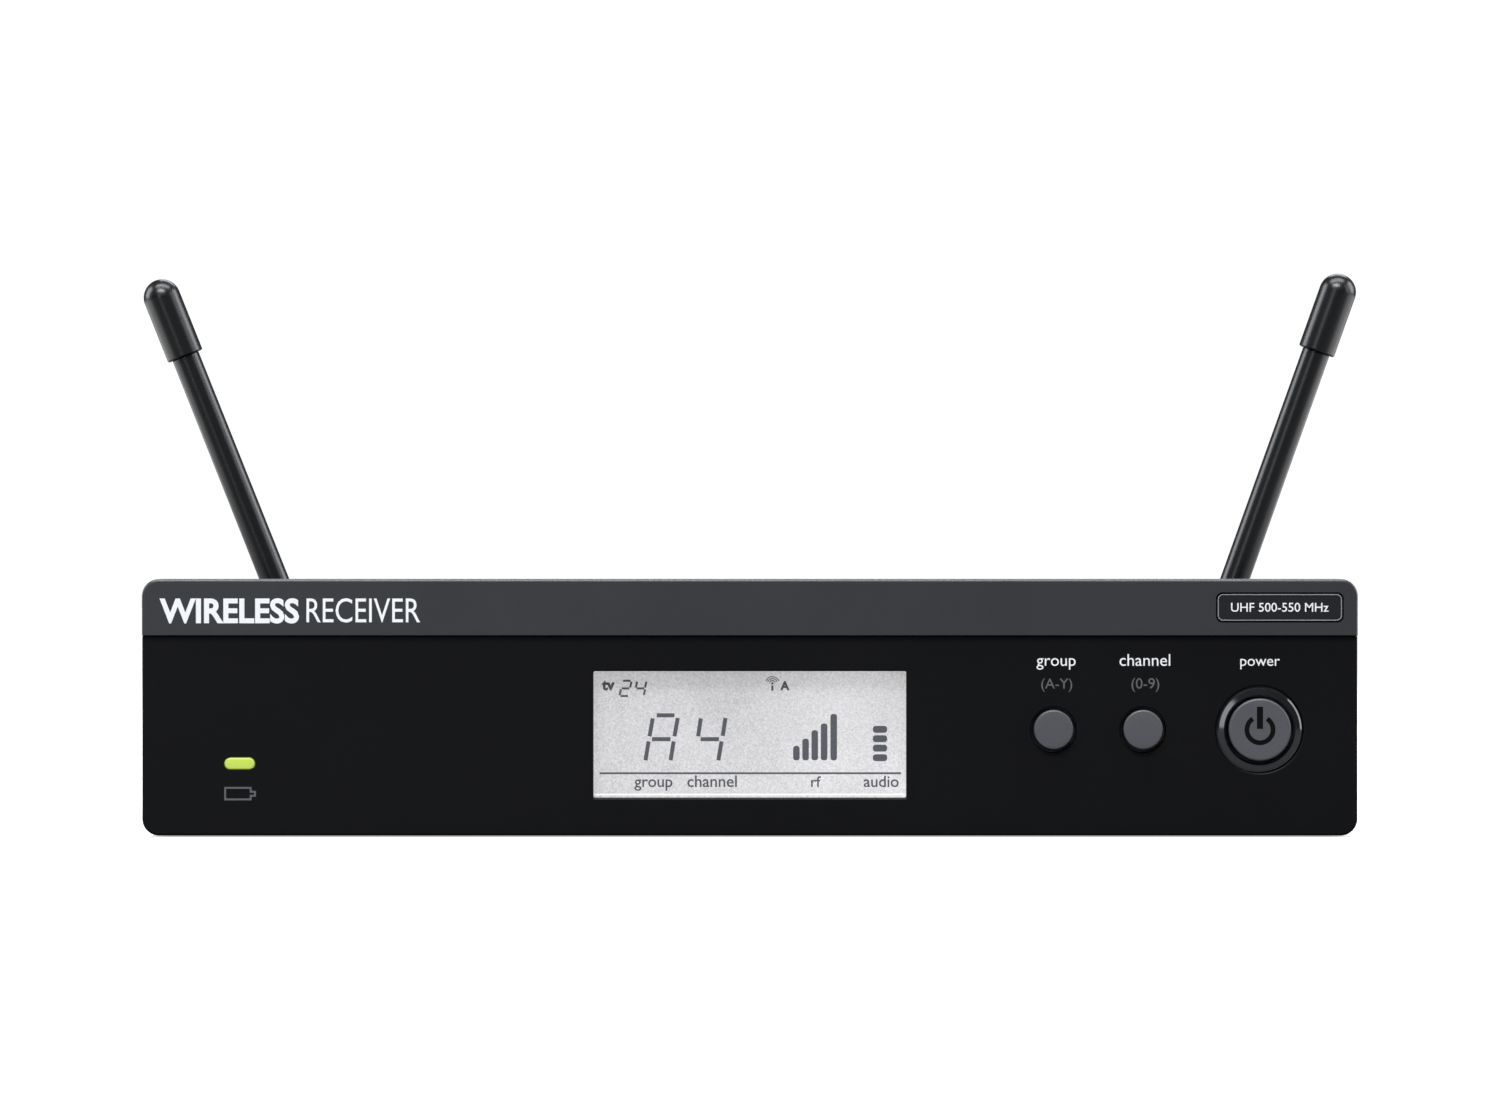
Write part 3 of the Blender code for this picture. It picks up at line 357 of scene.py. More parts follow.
def welded(mesh, distance, sharp=SHARP, carved=False):
    """The mesh with near points joined, shaded smooth apart from its sharp edges."""
    bm = bmesh.new()
    bm.from_mesh(mesh)
    bmesh.ops.remove_doubles(bm, verts=bm.verts[:], dist=distance)
    if carved:
        bmesh.ops.dissolve_degenerate(bm, edges=bm.edges[:], dist=1e-7)
    else:
        bmesh.ops.recalc_face_normals(bm, faces=bm.faces[:])
    bm.to_mesh(mesh)
    bm.free()
    mesh.shade_smooth()
    mesh.set_sharp_from_angle(angle=math.radians(sharp))
    return mesh


def piece(name, shape, finish, body="case", node=None, sharp=SHARP):
    """A finished piece that rides on a body, from a Shape or a mesh."""
    mesh = shape.mesh(name, sharp) if isinstance(shape, Shape) else shape
    mesh.materials.clear()
    mesh.materials.append(LOOKS[finish])
    obj = link(bpy.data.objects.new(name, mesh))
    weigh = obj.modifiers.new("Weighted normals", "WEIGHTED_NORMAL")
    weigh.keep_sharp = True
    weigh.weight = 60
    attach(obj, body)
    if node:
        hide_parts(node)


def evaluated(obj):
    """The mesh of an object with its modifiers applied."""
    bpy.context.view_layer.update()
    return bpy.data.meshes.new_from_object(obj.evaluated_get(bpy.context.evaluated_depsgraph_get()))


CUT, JOIN, KEEP = "DIFFERENCE", "UNION", "INTERSECT"


def carve(shape, *steps):
    """The mesh left after cutting, joining or keeping what other Shapes cover, in order."""
    scratch = [link(bpy.data.objects.new("scratch", shape.mesh("scratch")))]
    for operation, other in steps:
        modifier = scratch[0].modifiers.new("Step", "BOOLEAN")
        modifier.operation = operation
        modifier.object = link(bpy.data.objects.new("scratch", other.mesh("scratch")))
        modifier.object.hide_render = True
        scratch.append(modifier.object)
    mesh = evaluated(scratch[0])
    for obj in scratch:
        bpy.data.objects.remove(obj)
    return welded(mesh, 2e-7, carved=True)


def soften(points, radius, steps=3):
    """Rounds the corners of a two-dimensional line."""
    points = [Vector(p) for p in points]
    found = [points[0]]
    for before, corner, after in zip(points, points[1:], points[2:]):
        back, on = before - corner, after - corner
        reach = min(radius, back.length * 0.48, on.length * 0.48)
        start, end = corner + back.normalized() * reach, corner + on.normalized() * reach
        for k in range(steps + 1):
            t = k / steps
            found.append(start * (1 - t) ** 2 + corner * 2 * t * (1 - t) + end * t * t)
    return found + [points[-1]]


def corners(left, right, low, high, low_radius, high_radius, steps):
    """The points of a rectangle with arcs for corners."""
    found = []
    for sx, sz, start in ((1, -1, -90), (1, 1, 0), (-1, 1, 90), (-1, -1, 180)):
        r = low_radius if sz < 0 else high_radius
        x = right - r if sx > 0 else left + r
        z = low + r if sz < 0 else high - r
        for i in range(steps + 1):
            a = math.radians(start + 90 * i / steps)
            found.append((x + r * math.cos(a), z + r * math.sin(a)))
    return found


def rounded(width, height, radius, x=0.0, z=0.0, steps=8):
    """An outline in X and Z, as a function of how far it grows."""

    def outline(grow=0.0):
        w, h = width / 2 + grow, height / 2 + grow
        r = min(max(radius + grow, 0.02 * MM), w, h)
        return corners(x - w, x + w, z - h, z + h, r, r, steps)

    return outline


def box_outline(node, radius, steps=8, grow_mm=0.0):
    """The rounded outline of a node's box, seen from the front."""
    low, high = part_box(node)
    size = high - low
    more = 2 * grow_mm * MM
    return rounded(size.x + more, size.z + more, radius, (low.x + high.x) / 2, (low.z + high.z) / 2, steps)


def fascia_outline(half, low, high, low_radius, high_radius, low_share=1.0, high_share=1.0):
    """A symmetrical outline whose lower and upper corners differ, and grow by their own shares."""

    def outline(grow=0.0):
        radii = [max(r + grow, 0.03 * MM) for r in (low_radius, high_radius)]
        return corners(
            -half - grow, half + grow, low - grow * low_share, high + grow * high_share, *radii, 8
        )

    return outline


def unit_circle(sides):
    return [(math.cos(a), math.sin(a)) for a in (2 * math.pi * i / sides for i in range(sides))]


def circle(radius, x=0.0, z=0.0, sides=64):
    around = unit_circle(sides)
    return lambda grow=0.0: [(x + (radius + grow) * c, z + (radius + grow) * s) for c, s in around]


def tight(outline, share=0.4):
    """The same outline with a smaller fillet."""
    return lambda grow=0.0: outline(grow * share)


def inside(outline, by):
    """The outline of a hole that leaves a rim of a given width."""
    return lambda grow=0.0: outline(grow - by)


def slab(outer, holes=(), front=0.0, back=1.0, fillet=0.0, rear=0.0, steps=4, shape=None):
    """A plate between two Y values, with rounded front edges round its outline and its holes."""
    shape = shape or Shape()
    angles = [math.pi / 2 * i / steps for i in range(steps + 1)]
    ends = []
    for outline, sign in [(outer, -1), *[(hole, 1) for hole in holes]]:
        rows = [(front, 0.0)]
        if fillet:
            rows = [(front + fillet * (1 - math.cos(a)), fillet * (1 - math.sin(a))) for a in angles]
        if rear:
            rows += [(back - rear * (1 - math.sin(a)), rear * (1 - math.cos(a))) for a in angles]
        else:
            rows += [(back, 0.0)]
        loops = [shape.loop((p, y, q) for p, q in outline(sign * inset)) for y, inset in rows]
        shape.strip(loops, cap=False)
        ends.append((loops[0], loops[-1]))
    for faces in zip(*ends):
        shape.fill(faces)
    return shape


def box_between(low, high):
    """A plain box, for cutting."""
    (x0, y0, z0), (x1, y1, z1) = low, high
    shape = Shape()
    shape.strip([shape.loop([(x0, y, z0), (x1, y, z0), (x1, y, z1), (x0, y, z1)]) for y in (y0, y1)])
    return shape


def fluted(line, place, sides, wave, shape=None, ring=False):
    """A shape turned about an axis along Y, with flutes along it.

    The line is (radius, distance behind the place, flute depth) in millimetres. wave is the share of the
    flute's depth that is taken off at an angle."""
    shape = shape or Shape()
    around = [(wave(2 * math.pi * k / sides), c, s) for k, (c, s) in enumerate(unit_circle(sides))]
    loops = []
    for radius, d, flute in line:
        cut = [((radius - flute * share) * MM, c, s) for share, c, s in around] if radius else [(0, 0, 0)]
        loops.append(shape.loop((place.x + r * c, place.y + d * MM, place.z + r * s) for r, c, s in cut))
    shape.strip(loops, cap=not ring, ring=ring)
    return shape


def spun(line, place=ORIGIN, sides=64, shape=None, ring=False):
    """A shape turned about Y. The line is (radius, distance behind the place) in millimetres."""
    return fluted([(r, d, 0) for r, d in line], place, sides, lambda angle: 0, shape, ring)


def lettering(text, shape, centre, baseline, y, width=None, height=None, heavy=0.0, facing=-1):
    """Adds raised print to a shape, centred on an X, scaled to a width or a capital's height or both.

    heavy thickens the strokes. facing is -1 for print that is read from the front and 1 from behind."""
    curve = bpy.data.curves.new("print", "FONT")
    curve.body = text
    curve.align_x = "CENTER"
    curve.offset = heavy
    curve.resolution_u = 4
    obj = link(bpy.data.objects.new("print", curve))
    mesh = evaluated(obj)
    bpy.data.objects.remove(obj)
    xs = [v.co.x for v in mesh.vertices]
    top = max(v.co.y for v in mesh.vertices)
    across = width / (max(xs) - min(xs)) if width else height / top
    upward = height / top if height else across
    shift = -(max(xs) + min(xs)) / 2
    for depth in (0.0, INK):
        side = shape.loop(
            (centre - facing * (v.co.x + shift) * across, y - facing * depth, baseline + v.co.y * upward)
            for v in mesh.vertices
        )
    start, count = side[0] - len(side), len(side)
    uses = {}
    for polygon in mesh.polygons:
        front = [start + i for i in polygon.vertices]
        shape.faces += [front, [i + count for i in reversed(front)]]
        for a, b in zip(front, front[1:] + front[:1]):
            uses.setdefault(frozenset((a, b)), []).append((a, b))
    for edge in uses.values():
        if len(edge) == 1:
            a, b = edge[0]
            shape.faces.append([a, a + count, b + count, b])
    bpy.data.meshes.remove(mesh)
    bpy.data.curves.remove(curve)


def stroke(shape, points, width, y, thick=INK, round_ends=False):
    """A flat line of a given width in the X-Z plane."""
    points = [Vector(p) for p in points]
    left, right = [], []
    for i, p in enumerate(points):
        ahead = points[min(i + 1, len(points) - 1)] - points[max(i - 1, 0)]
        side = Vector((-ahead.y, ahead.x)).normalized() * width / 2
        left.append(p + side)
        right.append(p - side)

    def arc(end, arm):
        return [end + Matrix.Rotation(-math.pi * k / 8, 2) @ arm for k in range(1, 8)] if round_ends else []

    outline = left + arc(points[-1], left[-1] - points[-1])
    outline += right[::-1] + arc(points[0], right[0] - points[0])
    shape.strip([shape.loop((p.x, y + layer, p.y) for p in outline) for layer in (0.0, thick)])


# ------------------------------------------------------------------ fascia
def make_bezel():
    low, high = BEZEL
    seam = BAND[0].z - 0.2 * MM
    outer = fascia_outline(high.x + 0.08 * MM, low.z, seam + 0.08 * MM, CORNER, 0.04 * MM, high_share=0.3)
    holes = [
        box_outline("display_window", 0.25 * MM, grow_mm=0.15),
        circle(7.0 * MM, POWER.x, POWER.z, 96),
        tight(rounded(5.05 * MM, 2.02 * MM, 1.009 * MM, LIGHT.x, LIGHT.z), 0.15),
    ]
    holes += [tight(circle(3.7 * MM, place.x, place.z)) for place in SMALL_BUTTONS.values()]
    block = slab(outer, holes, deep(PANEL_STEP), high.y, 0.35 * MM, 0.2 * MM, steps=5)
    inner = fascia_outline(high.x - 1.9 * MM, seam - 3.8 * MM, high.z, 0.1 * MM, 0.3 * MM)
    tongue = slab(inner, (), deep(2.0), high.y - 0.01 * MM, 0.2 * MM)
    lip = box_between((low.x, deep(1.2), seam - 0.5 * MM), (high.x, high.y - 0.3 * MM, seam + 0.17 * MM))
    pocket = slab(rounded(188.6 * MM, 35.2 * MM, 0.8 * MM, 0, 20.1 * MM), (), deep(3.3), deep(20), 0.3 * MM)
    moulding = carve(block, (JOIN, tongue), (JOIN, lip), (CUT, pocket))
    piece("fascia", moulding, "fascia", node="front_bezel")


def make_bosses():
    """The posts behind the fascia that the tray's screws bite into."""
    bosses = Shape()
    for side in (-1, 1):
        for z in (5.3, 34.9):
            place = Vector((side * 91.3 * MM, FRONT, z * MM))
            spun([(2.4, 3.2), (2.4, 15.9), (1.1, 15.9), (1.1, 8), (0, 8)], place, 32, bosses)
    piece("fascia_bosses", bosses, "fascia")


def make_band():
    low, high = BAND
    outer = fascia_outline(high.x, low.z, high.z, 0.04 * MM, CORNER, low_share=0.35)
    block = slab(outer, (), low.y, high.y, 0.45 * MM, 0.15 * MM, steps=6)
    wall = 1.8 * MM
    hollow = box_between((low.x + wall, deep(1.8), low.z - 5 * MM), (high.x - wall, deep(20), high.z - wall))
    pocket = slab(rounded(20.7 * MM, 4.9 * MM, 1.05 * MM, BADGE.x, BADGE.z), (), deep(-1), deep(0.7))
    band = carve(block, (CUT, hollow), (CUT, pocket))
    piece("trim_band", band, "band", node="top_trim_band")


def make_badge():
    # Painted shade: a near-black sheet on the pocket's floor darkens the groove round the badge plate.
    well = slab(rounded(20.6 * MM, 4.8 * MM, 1.0 * MM, BADGE.x, BADGE.z), (), deep(0.53), deep(0.68))
    piece("badge_groove_shade", well, "mark_black_and_painted_shade")
    outline = rounded(20.1 * MM, 4.3 * MM, 0.86 * MM, BADGE.x, BADGE.z)
    plate = slab(outline, (), deep(0.14), deep(0.5), 0.05 * MM)
    piece("badge_plate", plate, "badge", node="frequency_badge")
    rim = slab(outline, [inside(outline, 0.15 * MM)], deep(0.06), deep(0.2), 0.02 * MM, steps=2)
    piece("badge_rim", rim, "badge_rim")


def make_window_and_display():
    low, high = WINDOW
    pane = slab(box_outline("display_window", 0.2 * MM), (), low.y, high.y, 0.12 * MM)
    piece("window", pane, "window", node="display_window")
    low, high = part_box("lcd_panel")
    panel = slab(box_outline("lcd_panel", 0.3 * MM), (), low.y, high.y, 0.15 * MM)
    piece("display_panel", panel, "display", node="lcd_panel")
    # A painted highlight: a thin glowing strip along the display's lower edge, standing in for light on the
    # window's lower bevel.
    line = rounded(50.3 * MM, 0.26 * MM, 0.08 * MM, 0, WINDOW[0].z + 0.30 * MM, 2)
    edge = slab(line, (), low.y - 0.05 * MM, low.y + 0.1 * MM, 0.02 * MM)
    piece("display_edge_highlight", edge, "display_edge_highlight")


def make_light_pipe():
    low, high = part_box("battery_light_pipe")
    outline = rounded(4.83 * MM, 1.82 * MM, 0.909 * MM, LIGHT.x, LIGHT.z, 12)
    pipe = slab(outline, (), low.y, high.y, 0.25 * MM, steps=5)
    piece("battery_light", pipe, "lit", node="battery_light_pipe")


# ------------------------------------------------------------------ buttons
def button(place, radius, front, flange_radius, flange_front, flange_back, edge, sides):
    """A cap with a rounded rim, its flange and its stem. Sizes and depths are in millimetres."""
    stem, stem_end = 1.4, 7.3
    line = [(0, front), (radius * 0.5, front), (radius - edge, front)]
    line += [
        (radius - edge + edge * math.sin(a), front + edge - edge * math.cos(a))
        for a in (math.pi / 2 * k / 6 for k in range(1, 7))
    ]
    line += [(radius, flange_front - 0.15), (radius + 0.15, flange_front)]
    line += [(flange_radius - 0.1, flange_front), (flange_radius, flange_front + 0.1)]
    line += [(flange_radius, flange_back), (stem, flange_back)]
    line += [(stem, stem_end), (stem - 0.1, stem_end + 0.1), (0, stem_end + 0.1)]
    return spun(line, place, sides)


def power_sign(front, back, narrower=0.0):
    """The power sign between two depths in millimetres: an open circle, and a bar through its gap."""
    shape = Shape()
    radius = 2.115 * MM
    turns = [math.radians(a) for a in range(33, 328, 6)]
    arc = [(POWER.x + radius * math.sin(a), POWER.z + radius * math.cos(a)) for a in turns]
    bar = [(POWER.x, POWER.z + 0.14 * MM), (POWER.x, POWER.z + 3.73 * MM)]
    for points, width in ((arc, 0.78), (bar, 1.0)):
        stroke(shape, points, (width - narrower) * MM, deep(front), (back - front) * MM)
    return shape


def make_buttons():
    for name, place in SMALL_BUTTONS.items():
        cap = button(place, 3.19, -0.4, 4.5, 3.6, 4.4, 0.28, 72)
        piece(f"{name}_cap", cap, "button", f"{name}_button_body", f"{name}_button")
    front = -0.59
    sunk = power_sign(front - 0.2, front + MARK_DEPTH)
    cap = carve(button(POWER, 5.05, front, 6.2, 4.4, 5.0, 0.34, 96), (CUT, sunk))
    piece("power_cap", cap, "button", "power_button_body", "power_button")
    inlay = power_sign(front + MARK_DEPTH - 0.04, front + MARK_DEPTH + 0.02, 0.01)
    piece("power_mark", inlay, "mark_black_and_painted_shade", "power_button_body")


def make_ring():
    line = [(5.80, 0.5), (6.56, 0.70), (6.82, 0.88), (6.82, 3.6)]
    line += [(7.9, 3.6), (7.9, 4.1), (5.5, 4.1), (5.5, 0.8)]
    shape = spun(line, POWER, 128, ring=True)
    piece("power_ring_polished", shape, "ring", node="power_ring", sharp=12)


# ------------------------------------------------------------------ print on the front
def print_words(words, shape, baseline, y, heavy=0.0):
    """Words that share a baseline. Each is (text, left, right), in millimetres."""
    for text, left, right in words:
        centre, width = (left + right) / 2 * MM, (right - left) * MM
        lettering(text, shape, centre, baseline * MM, y, width=width, heavy=heavy)


def battery_outline(grow=0.0):
    """The battery under the light, with the nub at its right-hand end."""
    g = grow / MM
    left, right, nub = -85.16 - g, -80.73 + g, -80.03 + g
    low, high, nub_low, nub_high = 6.04 - g, 8.21 + g, 6.64 - g, 7.58 + g
    points = [(left, low), (right, low), (right, nub_low), (nub, nub_low)]
    points += [(nub, nub_high), (right, nub_high), (right, high), (left, high)]
    return [(x * MM, z * MM) for x, z in points]


def make_panel_print():
    white, grey, title, badge = Shape(), Shape(), Shape(), Shape()
    y = deep(PANEL_STEP) - INK_PROUD
    names = ("group", 46.45, 52.81), ("channel", 59.92, 68.13), ("power", 79.47, 85.88)
    ranges = ("(A-Y)", 47.22, 52.24), ("(0-9)", 61.84, 66.35)
    print_words(names, white, 27.84, y)
    print_words(ranges, grey, 24.15, y)
    piece("panel_print_white", white, "white_ink")
    slab(battery_outline, [inside(battery_outline, 0.30 * MM)], y, y + INK, shape=grey)
    piece("panel_print_grey", grey, "grey_ink")

    y = FRONT - INK_PROUD
    tall = 3.9 * MM
    lettering("WIRELESS", title, -84.3 * MM, 34.9 * MM, y, width=22.6 * MM, height=tall, heavy=0.030)
    lettering("RECEIVER", title, -62.6 * MM, 34.9 * MM, y, width=18.4 * MM, height=tall)
    piece("band_title", title, "white_ink")
    lettering("UHF 500-550 MHz", badge, BADGE.x, 36.62 * MM, deep(0.125), width=15.8 * MM, heavy=0.004)
    piece("badge_print", badge, "white_ink")


def segments(left, shown):
    """The lit segments of a small leaning digit, named as on a seven-segment display."""
    width, lean, gap = 1.5, 0.42, 0.14
    low, mid, high = 22.9, 24.14, 25.38
    right, half = left + width, lean / 2
    every = {
        "a": ((left + lean + gap, high), (right + lean - gap, high)),
        "b": ((right + lean, high - gap), (right + half, mid + gap)),
        "c": ((right + half, mid - gap), (right, low + gap)),
        "d": ((left + gap, low), (right - gap, low)),
        "e": ((left + half, mid - gap), (left, low + gap)),
        "f": ((left + lean, high - gap), (left + half, mid + gap)),
        "g": ((left + half + gap, mid), (right + half - gap, mid)),
    }
    return [every[name] for name in shown]


# The big digits, the selected group and channel: both ends of each lit segment, (x, z) in millimetres.
BIG_DIGITS = (
    ((-15.11, 19.77), (-12.23, 19.77)),
    ((-15.77, 19.28), (-16.27, 16.36)),
    ((-11.70, 19.34), (-12.23, 16.36)),
    ((-15.87, 15.90), (-12.86, 15.90)),
    ((-16.43, 15.54), (-16.93, 12.46)),
    ((-12.36, 15.54), (-12.86, 12.46)),
    ((-7.96, 19.28), (-8.39, 16.36)),
    ((-3.96, 19.34), (-4.39, 16.43)),
    ((-7.99, 15.90), (-5.01, 15.90)),
    ((-4.58, 15.54), (-5.11, 12.46)),
)


def make_display_print():
    ink = Shape()
    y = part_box("lcd_panel")[0].y - 0.018 * MM

    def line(points, width):
        stroke(ink, [(x * MM, z * MM) for x, z in points], width * MM, y)

    def block(outline):
        slab(outline, (), y, y + INK, shape=ink)

    for segment in BIG_DIGITS:
        line(segment, 0.66)
    for left, shown in ((-21.13, "abged"), (-18.71, "fgbc")):
        for segment in segments(left, shown):
            line(segment, 0.34)
    lettering("tv", ink, -22.97 * MM, 23.91 * MM, y, width=2.15 * MM, heavy=0.045)
    lettering("A", ink, 5.69 * MM, 23.91 * MM, y, width=1.55 * MM, heavy=0.045)
    # The antenna sign: a stem, a dot, and waves above it.
    mast = 3.66
    line(((mast, 24.62), (mast, 23.75)), 0.36)
    block(circle(0.20 * MM, mast * MM, 24.95 * MM, 16))
    for radius in (0.50, 0.82, 1.14):
        arc = [math.radians(a) for a in range(22, 159, 8)]
        line([(mast + radius * math.cos(a), 24.9 + radius * math.sin(a)) for a in arc], 0.15)
    # The radio signal's rising bars, the audio level's blocks, and the rule under them.
    foot = 12.46
    for x, top in ((7.56, 14.81), (9.05, 15.97), (10.54, 17.36), (12.06, 18.45), (13.62, 20.00)):
        block(rounded(1.06 * MM, (top - foot) * MM, 0.42 * MM, x * MM, (top + foot) / 2 * MM, 5))
    for z in (17.49, 15.97, 14.44, 12.89):
        block(rounded(2.32 * MM, 1.125 * MM, 0.45 * MM, 21.13 * MM, z * MM, 5))
    block(rounded(48.9 * MM, 0.31 * MM, 0.05 * MM, 0.085 * MM, 10.37 * MM, 2))
    left_words = ("group", -18.75, -12.56), ("channel", -10.14, -2.10)
    right_words = ("rf", 9.94, 11.53), ("audio", 18.48, 24.17)
    print_words(left_words + right_words, ink, 8.16, y, 0.010)
    piece("display_print", ink, "display_ink")


# ------------------------------------------------------------------ case
def make_cover():
    low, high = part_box("top_cover")
    thick, bend = 1.0 * MM, 1.2 * MM

    def outline(grow=0.0):
        found = []
        for inset, order in ((-grow, 1), (thick + grow, -1)):
            x, top = high.x - inset, high.z - inset
            r = max(bend - inset, 0.1 * MM)
            turns = [math.radians(a) for a in range(0, 91, 15)]
            side = [(x, low.z - grow)]
            side += [(x - r + r * math.cos(a), top - r + r * math.sin(a)) for a in turns]
            side += [(-p, q) for p, q in reversed(side)]
            found += side[::order]
        return found

    shell = slab(outline, (), low.y, high.y, 0.12 * MM, 0.12 * MM, steps=2)
    sinks = []
    for label in COVER_SCREWS:
        screw = middle(f"cover_screw_{label}")
        side = math.copysign(1, screw.x)
        line = [(0, -0.5), (3.42, -0.5), (3.42, -0.3), (3.3, 0), (1.35, 1.95), (1.35, 6), (0, 6)]
        turn = Matrix.Rotation(side * math.pi / 2, 4, "Z")
        onto = Matrix.Translation((side * high.x, screw.y, screw.z)) @ turn
        sinks.append((CUT, spun(line, sides=40).move(onto)))
    piece("case_cover", carve(shell, *sinks), "paint", node="top_cover")


def cross_head_screw(length, place, turn, tilt=45):
    """A countersunk screw whose head lies at a place and faces -Y, turned about Z."""
    line = [(0, 0), (2.45, 0), (2.6, 0.12), (1.25, 1.8), (1.25, length - 0.2), (1.0, length), (0, length)]
    cross = []
    for angle in (tilt, tilt + 90):
        bar = Shape()
        ends = [
            bar.loop([(-w, d, -t), (w, d, -t), (w, d, t), (-w, d, t)])
            for w, d, t in ((1.6, -0.2, 0.31), (0.8, 0.85, 0.2))
        ]
        bar.strip(ends)
        spin = Matrix.Rotation(math.radians(angle), 4, "Y")
        cross.append((CUT, bar.move(spin @ Matrix.Scale(MM, 4))))
    mesh = carve(spun(line, sides=48), *cross)
    mesh.transform(Matrix.Translation(place) @ Matrix.Rotation(turn, 4, "Z"))
    return mesh


def make_cover_screws():
    for label in COVER_SCREWS:
        name = f"cover_screw_{label}"
        low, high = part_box(name)
        place = middle(name)
        side = math.copysign(1, place.x)
        outside = high.x if side > 0 else low.x
        mesh = cross_head_screw(6.4, (outside, place.y, place.z), side * math.pi / 2)
        piece(f"screw_{label}", mesh, "black_steel", node=name)


def make_rear_panel():
    low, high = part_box("rear_panel")
    holes = [circle(12.1 * MM, XLR.x, XLR.z, 96)]
    sizes = (5.0, PHONE), (3.8, VOLUME), (4.7, POWER_JACK), (5.1, JACKS["left"]), (5.1, JACKS["right"])
    holes += [circle(radius * MM, place.x, place.z, 48) for radius, place in sizes]
    plate = slab(box_outline("rear_panel", 0.3 * MM, 3), holes, low.y, high.y, 0.08 * MM, 0.08 * MM, steps=2)
    piece("rear_plate", plate, "paint", node="rear_panel")
    make_rear_print()


def make_rear_print():
    marks = Shape()
    y = PANEL_BACK + INK_PROUD
    for k in range(11):
        a = math.radians(-150 + 30 * k)
        ends = [(VOLUME.x - r * MM * math.sin(a), VOLUME.z + r * MM * math.cos(a)) for r in (7.3, 8.5)]
        stroke(marks, ends, 0.35 * MM, y - INK, round_ends=True)
    for word, place, above, width in (
        ("volume", VOLUME, 12.0, 9.5), ("output", PHONE, 12.0, 8.5), ("dc in", POWER_JACK, 7.5, 6.5)
    ):
        lettering(word, marks, place.x, place.z + above * MM, y, width=width * MM, heavy=0.01, facing=1)
    for letter, place in zip("AB", JACKS.values()):
        lettering(letter, marks, place.x, place.z + 9.8 * MM, y, height=2.4 * MM, heavy=0.015, facing=1)
    piece("rear_print", marks, "white_ink")


def make_feet():
    line = soften([(0, 1.2), (6.0, 1.2), (6.0, 0.35), (5.65, 0.0), (4.9, 0.0), (4.7, 0.12), (0, 0.12)], 0.12)
    for name in ("foot_front_left", "foot_front_right", "foot_rear_left", "foot_rear_right"):
        place = middle(name)
        onto = Matrix.Translation((place.x, place.y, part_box(name)[0].z)) @ ALONG_Z
        piece(name + "_rubber", spun(line).move(onto), "foot", node=name)


# ------------------------------------------------------------------ rear connectors
def round_bar(radius, near, far, place=ORIGIN, sides=48):
    return spun([(0, near), (radius, near), (radius, far), (0, far)], place, sides)


def reach(node):
    """How far a node's two ends are behind the rear panel, in millimetres."""
    return [(end.y - PANEL_BACK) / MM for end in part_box(node)]


def box_body(node, corner, fillet, rear=0.0):
    """The moulded body of a connector, as wide and high as its node."""
    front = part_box(node)[0].y
    return slab(box_outline(node, corner * MM, 4), (), front, behind(BODY_BACK), fillet * MM, rear * MM)


def threaded(radius, start, end, depth=0.22, pitch=0.75):
    """(radius, distance) of a bush's outside, ridged like a thread, in millimetres."""
    count = int((end - start) / pitch)
    step = (end - start) / count
    found = []
    for k in range(count):
        d = start + step * k
        found += [(radius - depth, d), (radius, d + step * 0.35), (radius, d + step * 0.65)]
    return found + [(radius - depth, end)]


def hex_nut(name, node, across, bore, place):
    near, far = reach(node)
    half, wide = across / 2, bore + 0.35
    corner = half / math.cos(math.radians(30))
    blank = spun([(corner, near), (corner, far)], place, 6)
    rounding = [(0, near), (half * 0.98, near), (half * 1.17, near + 0.35)]
    rounding += [(half * 1.17, far - 0.5), (half * 0.95, far), (0, far)]
    thread = [(0, near - 1), (bore, near - 1), (bore, far - 0.3)]
    thread += [(wide, far + 0.05), (wide, far + 1), (0, far + 1)]
    nut = carve(blank, (KEEP, spun(rounding, place, 96)), (CUT, spun(thread, place)))
    piece(name, nut, "nickel", node=node)


def make_xlr():
    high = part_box("xlr_shell")[1]
    flange = slab(box_outline("xlr_shell", 3 * MM), (), behind(0.3), high.y, 0.0, 0.35 * MM, steps=5)
    bore = [(0, -13.5), (9.4, -13.5), (9.4, 1.7), (9.8, 2.15), (9.8, 5), (0, 5)]
    sink = [(0, -1.5), (1.6, -1.5), (1.6, 0.9), (3.0, 2.2), (3.0, 4), (0, 4)]
    steps = [(JOIN, round_bar(11.7, -16.5, 1.0, XLR, 96)), (CUT, spun(bore, XLR, 96))]
    steps += [(CUT, spun(sink, place, 32)) for place in XLR_FIXINGS]
    steps += [(CUT, round_bar(1.3, -20, -10, at_back(pin), 24)) for pin in XLR_PINS]
    piece("xlr_housing", carve(flange, *steps), "plastic", node="xlr_shell")

    for k, place in enumerate(XLR_FIXINGS, start=1):
        mesh = cross_head_screw(3.2, (place.x, high.y - 0.3 * MM, place.z), math.pi, 20 + 30 * k)
        piece(f"xlr_screw_{k}", mesh, "black_steel")


def make_xlr_contacts():
    for k, pin in enumerate(XLR_PINS, start=1):
        near, far = reach(pin)
        line = [(0, near), (1.2, near), (1.2, far - 1.2)]
        line += [(1.2 * math.cos(a), far - 1.2 + 1.2 * math.sin(a)) for a in (0.3, 0.6, 0.9, 1.2, 1.45)]
        line += [(0, far)]
        piece(f"xlr_contact_{k}", spun(line, at_back(pin), 32), "gold", node=pin)


def make_phone_jack():
    bush = [(0, -4), (4.7, -4), (4.7, 0.2), *threaded(4.7, 0.3, 3.2), (4.3, 3.5), (0, 3.5)]
    bore = [(0, -25), (3.3, -25), (3.3, 3.1), (3.7, 3.5), (3.7, 6), (0, 6)]
    body = box_body("phone_jack", 0.8, 0.4, 0.1)
    socket = carve(body, (JOIN, spun(bush, PHONE)), (CUT, spun(bore, PHONE, 48)))
    piece("phone_socket", socket, "plastic", node="phone_jack")
    hex_nut("phone_nut", "phone_jack_nut", 13.0, 4.9, PHONE)


